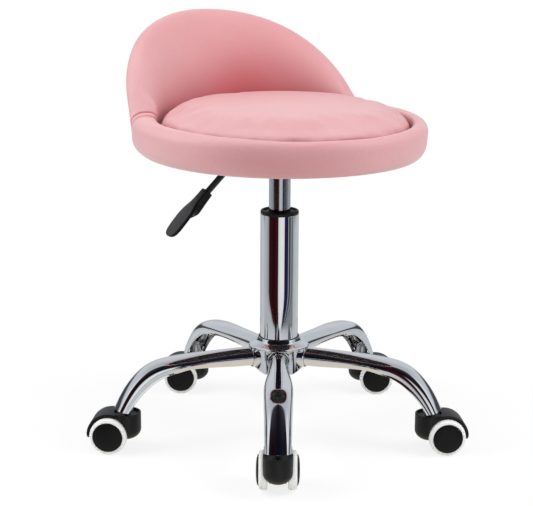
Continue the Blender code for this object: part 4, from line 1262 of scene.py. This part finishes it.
def hood_barrel():
    profile = [(0, BARREL_TOP), (BARREL_R, BARREL_TOP, 0.9),
               (BARREL_R, BARREL_BOTTOM + BARREL_ROUND)]
    for k in range(1, 16):
        angle = math.radians(k * 90 / 16)
        profile.append((BARREL_R * math.cos(angle),
                        BARREL_BOTTOM + BARREL_ROUND * (1 - math.sin(angle))))
    return lathe("caster_shell", profile + [(0, BARREL_BOTTOM)], NYLON)


def hood_fender():
    """Curved guard over the wheels; its low end gets narrower and thinner."""
    rings, steps = [], 44
    for i in range(steps + 1):
        deg = blend(FENDER_HIGH_DEG, FENDER_LOW_DEG, i / steps)
        angle = math.radians(deg)
        near = max(0.0, 1 - (deg - FENDER_LOW_DEG) / 16.0)
        half = FENDER_HALF - 3.6 * near ** 2.4
        thick = 1 - 0.55 * near ** 3
        out_r = blend(FENDER_IN + 1.3, FENDER_OUT, thick)
        in_r = blend(FENDER_IN + 0.8, FENDER_IN, thick)
        section = filleted([(in_r, -half, 0.4), (out_r, -half, 1.5), (out_r, half, 1.5),
                            (in_r, half, 0.4)], closed=True)
        rings.append([(TRAIL + radius * math.cos(angle), y, WHEEL_R + radius * math.sin(angle))
                      for radius, y in section])
    return loft("fender", rings, NYLON)


def hood_web():
    """Slab between the two wheels, from the stem to the fender and round the axle."""
    arcs = [(FENDER_IN + 1.2, blend(112.0, -4.0, i / 14)) for i in range(15)]
    arcs += [(9.0, blend(-20.0, -160.0, i / 8)) for i in range(9)]
    rings = []
    for y in (-WEB_HALF + 1.9, WEB_HALF - 1.9):
        ring = [(0.0, y, WHEEL_R - 9.0), (0.0, y, BARREL_TOP - 3)]
        for radius, deg in arcs:
            angle = math.radians(deg)
            ring.append((TRAIL + radius * math.cos(angle), y,
                         WHEEL_R + radius * math.sin(angle)))
        rings.append(ring)
    return loft("web", rings, NYLON)


def axle_cut(name, low, high, radius, steps=72):
    """Cylinder along the axle, from y = low to y = high."""
    cut = lathe(name, [(0, high), (radius, high), (radius, low), (0, low)], NYLON, steps=steps)
    cut.rotation_euler = (math.radians(-90), 0, 0)
    cut.location = Vector((TRAIL, 0, WHEEL_R)) * UNIT
    return cut


def hood():
    dish = lathe("dish", [
        (0, 60), (BARREL_R - 2.4, 60), (BARREL_R - 2.4, BARREL_TOP - 2.6),
        (8.6, BARREL_TOP - 3.2), (0, BARREL_TOP - 3.2),
    ], NYLON, steps=72)
    stem_room = lathe("stem_room", [(0, 60), (5.6, 60), (5.75, 33.0), (0, 33.0)], NYLON, steps=40)
    cuts = [axle_cut("left_room", WEB_HALF, 40, ROOM_R),
            axle_cut("right_room", -40, -WEB_HALF, ROOM_R),
            dish, stem_room, axle_cut("axle_room", -40, 40, 3.2, steps=32)]
    return drop(carve(hood_barrel(), cuts, unions=[hood_fender(), hood_web()],
                      soften=0.4, smooth=35))


hood_mesh = hood()
stem_mesh = drop(lathe("stem", [
    (0, 72.3), (3.0, 71.9, 1.2), (5.7, 70.4, 1.0), (6.3, 69.35, 0.4), (5.3, 69.3, 0.2),
    (5.3, 56.2, 0.2), (8.4, 56.2, 0.6), (8.4, 53.6, 0.6), (5.5, 53.6, 0.3), (5.5, 33.6, 0.8),
    (0, 33.4),
], STEM_STEEL, steps=56))
axle_mesh = drop(lathe("axle", [(0, 21.6), (3.0, 21.6, 0.5), (3.0, -21.6, 0.5), (0, -21.6)],
                       STEEL, steps=40))
# Wheel parts: z runs outwards along the axle from the caster's middle.
tyre_mesh = drop(lathe("tyre", [
    (19.45, 23.3, 0.2), (20.0, 23.4, 0.2), (22.3, 23.0, 0.8), (23.3, 21.9, 1.0),
    (WHEEL_R, 19.8, 2.0), (WHEEL_R, 14.2, 0.9), (23.3, 12.9, 0.7), (19.45, 12.9, 0.3),
], TYRE, steps=120, ring=True, arc=4))
core_mesh = drop(lathe("wheel_core", [
    (0, 26.8), (8.0, 26.62, 6.0), (14.0, 26.0, 6.0), (17.6, 25.0, 1.6), (18.6, 24.5, 0.5),
    (19.2, 23.4, 0.35), (19.2, 12.9, 0.4), (16.5, 12.9, 0.4), (16.0, 15.4, 0.8),
    (8.2, 15.4, 0.8), (7.6, 12.9, 0.4), (3.3, 12.9, 0.2), (3.3, 21.9), (0, 21.9),
], CAP_NYLON_AND_GRIP_SHADE, steps=120, arc=4))


def caster(number):
    stem, axle = middle(f"caster_stem_{number}"), middle(f"caster_axle_{number}")
    heading = math.degrees(math.atan2(axle.y - stem.y, axle.x - stem.x))
    body = f"caster_{number}"
    for name, mesh, slot, node in (
        ("caster_shell", hood_mesh, "black_nylon", "caster_hood"),
        ("stem_pin", stem_mesh, "steel", "caster_stem"),
    ):
        obj = link(f"{name}_{number}", mesh, (stem.x, stem.y, 0), heading)
        piece(obj, body, slot, f"{node}_{number}")
    hub_at = Matrix.Translation(Vector((axle.x, axle.y, WHEEL_R)) * UNIT)
    for name, mesh, turn, rides, slot, node in (
        ("axle_pin", axle_mesh, -90, body, "steel", f"caster_axle_{number}"),
        ("tyre_l", tyre_mesh, -90, f"wheel_{number}l", "tyre_white", f"wheel_tyre_{number}l"),
        ("tyre_r", tyre_mesh, 90, f"wheel_{number}r", "tyre_white", f"wheel_tyre_{number}r"),
        ("cap_l", core_mesh, -90, f"wheel_{number}l", "black_nylon", f"wheel_core_{number}l"),
        ("cap_r", core_mesh, 90, f"wheel_{number}r", "black_nylon", f"wheel_core_{number}r"),
    ):
        obj = link(f"{name}_{number}", mesh)
        obj.matrix_world = (hub_at @ Matrix.Rotation(math.radians(heading), 4, "Z")
                            @ Matrix.Rotation(math.radians(turn), 4, "X"))
        piece(obj, rides, slot, node)


for number in range(1, 6):
    caster(number)

# -------------------------------------------------------------------- camera
CAMERA_OFFSET = Vector((-868.7, -1445.8, 671.7))         # from the column's foot
YAW, PITCH, ROLL = math.radians(1.14), math.radians(14.08), math.radians(0.67)
DEEP, SIDE = Vector((DEEP_X, DEEP_Y, 0)), Vector((DEEP_Y, -DEEP_X, 0))


def add_camera():
    forward = (SIDE * math.sin(YAW) + DEEP * math.cos(YAW)) * math.cos(PITCH)
    forward -= Vector((0, 0, 1)) * math.sin(PITCH)
    right = (SIDE * math.cos(YAW) - DEEP * math.sin(YAW)).normalized()
    forward.normalize()
    upward = right.cross(forward)
    rolled_right = right * math.cos(ROLL) + upward * math.sin(ROLL)
    rolled_up = upward * math.cos(ROLL) - right * math.sin(ROLL)
    camera = bpy.data.objects.new("camera", bpy.data.cameras.new("camera"))
    scene.collection.objects.link(camera)
    turn = Matrix((rolled_right, rolled_up, -forward)).transposed().to_4x4()
    camera.matrix_world = Matrix.Translation((Vector(COLUMN) + CAMERA_OFFSET) * UNIT) @ turn
    camera.data.sensor_width = 36.0
    camera.data.lens = 89.98
    camera.data.shift_x = -0.0726
    camera.data.clip_end = 100.0
    scene.camera = camera


add_camera()

# -------------------------------------------------------------------- lights
LAMP_AIM_Z = 330


def lamp(name, azimuth, elevation, distance, size, power):
    """Soft area light; azimuth is from the camera's side, positive to its right."""
    azimuth, elevation = math.radians(azimuth), math.radians(elevation)
    level = -DEEP * math.cos(azimuth) + SIDE * math.sin(azimuth)
    direction = level * math.cos(elevation) + Vector((0, 0, 1)) * math.sin(elevation)
    data = bpy.data.lights.new(name, "AREA")
    data.shape, data.size, data.size_y = "RECTANGLE", size[0], size[1]
    data.energy = power
    obj = bpy.data.objects.new(name, data)
    scene.collection.objects.link(obj)
    target = Vector((AXIS_X, AXIS_Y, LAMP_AIM_Z)) * UNIT
    obj.location = target + direction.normalized() * distance
    obj.rotation_euler = direction.to_track_quat("Z", "Y").to_euler()
    obj.visible_glossy = False


lamp("left_softbox", azimuth=-82, elevation=34, distance=1.7, size=(1.1, 1.3), power=24.5)
lamp("right_softbox", azimuth=76, elevation=40, distance=1.8, size=(1.0, 1.2), power=25.5)
lamp("top_softbox", azimuth=-20, elevation=82, distance=1.5, size=(1.2, 1.2), power=7.5)
lamp("front_fill", azimuth=12, elevation=6, distance=2.4, size=(1.4, 0.9), power=12.0)

# --------------------------------------------------------------------- world
# What the chrome mirrors, in bands by height: azimuth in degrees from the camera's
# side, positive to its right, and sRGB colour.
UPPER_BAND = (                     # just below the horizon
    (-180, (196, 201, 204)), (-150, (178, 183, 187)), (-118, (208, 212, 214)),
    (-88, (186, 190, 194)), (-74, (166, 171, 176)), (-67, (150, 152, 154)), (-62, (34, 17, 18)),
    (-48, (60, 18, 22)), (-34, (26, 13, 16)), (-20, (66, 16, 20)), (-8, (34, 15, 18)),
    (-4, (226, 228, 226)), (12, (244, 246, 242)), (28, (236, 238, 236)), (32, (24, 22, 60)),
    (44, (38, 34, 84)), (52, (22, 20, 34)), (56, (176, 180, 180)), (60, (70, 74, 76)),
    (66, (26, 26, 30)), (72, (150, 156, 158)), (84, (92, 96, 100)), (94, (186, 192, 194)),
    (130, (204, 208, 210)), (180, (196, 201, 204)))
LOWER_BAND = (                     # further down
    (-180, (214, 216, 220)), (-101, (214, 216, 220)), (-98, (22, 22, 34)), (-92, (22, 22, 34)),
    (-89, (206, 210, 214)), (-26, (200, 206, 210)), (-22, (18, 24, 38)), (-14, (18, 24, 38)),
    (-11, (232, 240, 242)), (4, (214, 216, 222)), (58, (200, 202, 208)), (61, (26, 26, 36)),
    (68, (26, 26, 36)), (71, (196, 200, 206)), (180, (214, 216, 220)))
MIDDLE_BAND = (                    # above the horizon
    (-180, (214, 217, 222)), (-100, (206, 210, 216)), (-76, (240, 243, 245)),
    (-66, (250, 251, 252)), (-61, (40, 32, 38)), (-30, (16, 12, 16)), (-12, (30, 12, 18)),
    (0, (12, 14, 22)), (14, (20, 24, 36)), (40, (30, 20, 26)), (57, (36, 32, 38)),
    (63, (250, 251, 252)), (74, (238, 241, 244)), (100, (204, 208, 214)),
    (180, (214, 217, 222)))
ZENITH_BAND = (
    (-180, (186, 190, 197)), (-78, (190, 194, 201)), (-58, (60, 60, 68)), (0, (22, 20, 26)),
    (56, (60, 60, 68)), (76, (188, 192, 199)), (180, (186, 190, 197)))
FLOOR_TONE, FLAG_TONE = linear(226, 217, 200), linear(44, 44, 54)
TAPER_EDGE = 1.52                  # radians; the upper band tapers inside this azimuth


def build_world():
    world = bpy.data.worlds.new("studio")
    scene.world = world
    world.use_nodes = True
    tree = Nodes(tree=world.node_tree)
    calc, span, mix = tree.calc, tree.span, tree.mix

    # After the turn +X is towards the camera and +Y to its right.
    direction = tree.add("TexCoord", {}).outputs["Generated"]
    turn = {"Vector": direction, "Angle": -math.atan2(-DEEP.y, -DEEP.x)}
    turned = tree.add("VectorRotate", turn, rotation_type="Z_AXIS")
    parts = tree.add("SeparateXYZ", {0: turned.outputs[0]})
    azimuth = calc("ARCTAN2", parts.outputs["Y"], parts.outputs["X"])
    height = calc("MULTIPLY", calc("ARCSINE", parts.outputs["Z"]), 180 / math.pi)

    # The upper band's pattern closes in towards azimuth 0 as it goes down.
    drawn_in = calc("POWER", span(height, (-18.2, -13.4), to=(1.0, 0.0)), 1.4)
    squeezed = calc("DIVIDE", azimuth, span(drawn_in, (0.0, 1.0), to=(1.0, 0.22)))
    inside = calc("LESS_THAN", calc("ABSOLUTE", squeezed), TAPER_EDGE)
    beyond = calc("MAXIMUM", calc("ABSOLUTE", azimuth), TAPER_EDGE)
    beyond = calc("MULTIPLY", beyond, calc("SIGN", azimuth))
    tapered = calc("ADD", calc("MULTIPLY", squeezed, inside),
                   calc("MULTIPLY", beyond, calc("SUBTRACT", 1.0, inside)))
    azimuth = span(azimuth, (-math.pi, math.pi))
    tapered = span(tapered, (-math.pi, math.pi))

    def band(place, stops):
        return tree.ramp(place, [((deg + 180.0) / 360.0, linear(*rgb)) for deg, rgb in stops])

    def rise(value, low, high):
        return span(value, (low, high), smooth=True)

    def fall(value, low, high):
        return span(value, (low, high), to=(1.0, 0.0), smooth=True)

    high = mix(rise(height, 26.0, 62.0), band(azimuth, MIDDLE_BAND), band(azimuth, ZENITH_BAND))
    low = mix(rise(height, -40.0, -30.0), FLOOR_TONE, band(azimuth, LOWER_BAND))
    low = mix(rise(height, -18.5, -16.5), low, band(tapered, UPPER_BAND))
    glossy = mix(rise(height, 4.0, 16.0), low, high)
    # Dark flags behind the object at both sides, which the tips of the side arms mirror.
    aside = calc("ABSOLUTE", span(azimuth, (0.0, 1.0), to=(-180.0, 180.0)))
    flag = calc("MULTIPLY", rise(aside, 92.0, 99.0), fall(aside, 148.0, 158.0))
    level = calc("MULTIPLY", rise(height, -8.5, -5.0), fall(height, 7.0, 14.0))
    flag = calc("MULTIPLY", flag, level)
    glossy = mix(calc("MULTIPLY", flag, 0.93), glossy, FLAG_TONE)

    # Soft light for diffuse rays, the bands for mirrored rays, white for the camera.
    path = tree.add("LightPath", {}).outputs
    soft = tree.add("Background", {"Color": (0.98, 0.985, 1.0), "Strength": 0.27}).outputs[0]
    shown = tree.add("Background", {"Color": (1, 1, 1), "Strength": 1.0}).outputs[0]
    mirrored = tree.add("Background", {"Color": glossy, "Strength": 1.0}).outputs[0]
    unseen = tree.add("MixShader", {0: path["Is Glossy Ray"], 1: soft, 2: mirrored}).outputs[0]
    whole = tree.add("MixShader", {0: path["Is Camera Ray"], 1: unseen, 2: shown}).outputs[0]
    tree.add("OutputWorld", {0: whole})


build_world()


# --------------------------------------------------------------------- floor
def pale_floor():
    """Pale paper near the stool that turns to plain white further out."""
    tree = Nodes("pale_floor")
    where = tree.add("TexCoord", {}).outputs["Object"]
    reach = tree.add("VectorMath", {0: where}, operation="LENGTH").outputs["Value"]
    away = tree.span(reach, (0.28, 0.62), to=(0.82, 1.0), smooth=True)
    seen = tree.add("LightPath", {}).outputs["Is Camera Ray"]
    away = tree.calc("MULTIPLY", away, seen)
    tone = tree.mix(tree.noise(where, scale=6.0), (0.90, 0.90, 0.90), (0.93, 0.93, 0.93))
    paper = tree.add("BsdfDiffuse", {"Color": tone}).outputs[0]
    glow = tree.add("Emission", {"Color": (1, 1, 1), "Strength": 1.0}).outputs[0]
    both = tree.add("MixShader", {0: away, 1: paper, 2: glow}).outputs[0]
    tree.add("OutputMaterial", {0: both})
    return tree.material


FLOOR_HALF = 15000
corners = [(x * FLOOR_HALF, y * FLOOR_HALF, 0) for x, y in ((-1, -1), (1, -1), (1, 1), (-1, 1))]
floor = new_object("floor", corners, [[0, 1, 2, 3]], pale_floor())
floor.location.z = -0.0004
floor.visible_glossy = False

scene.view_settings.view_transform = "Standard"
scene.view_settings.look = "None"
scene.view_settings.exposure = 0.0
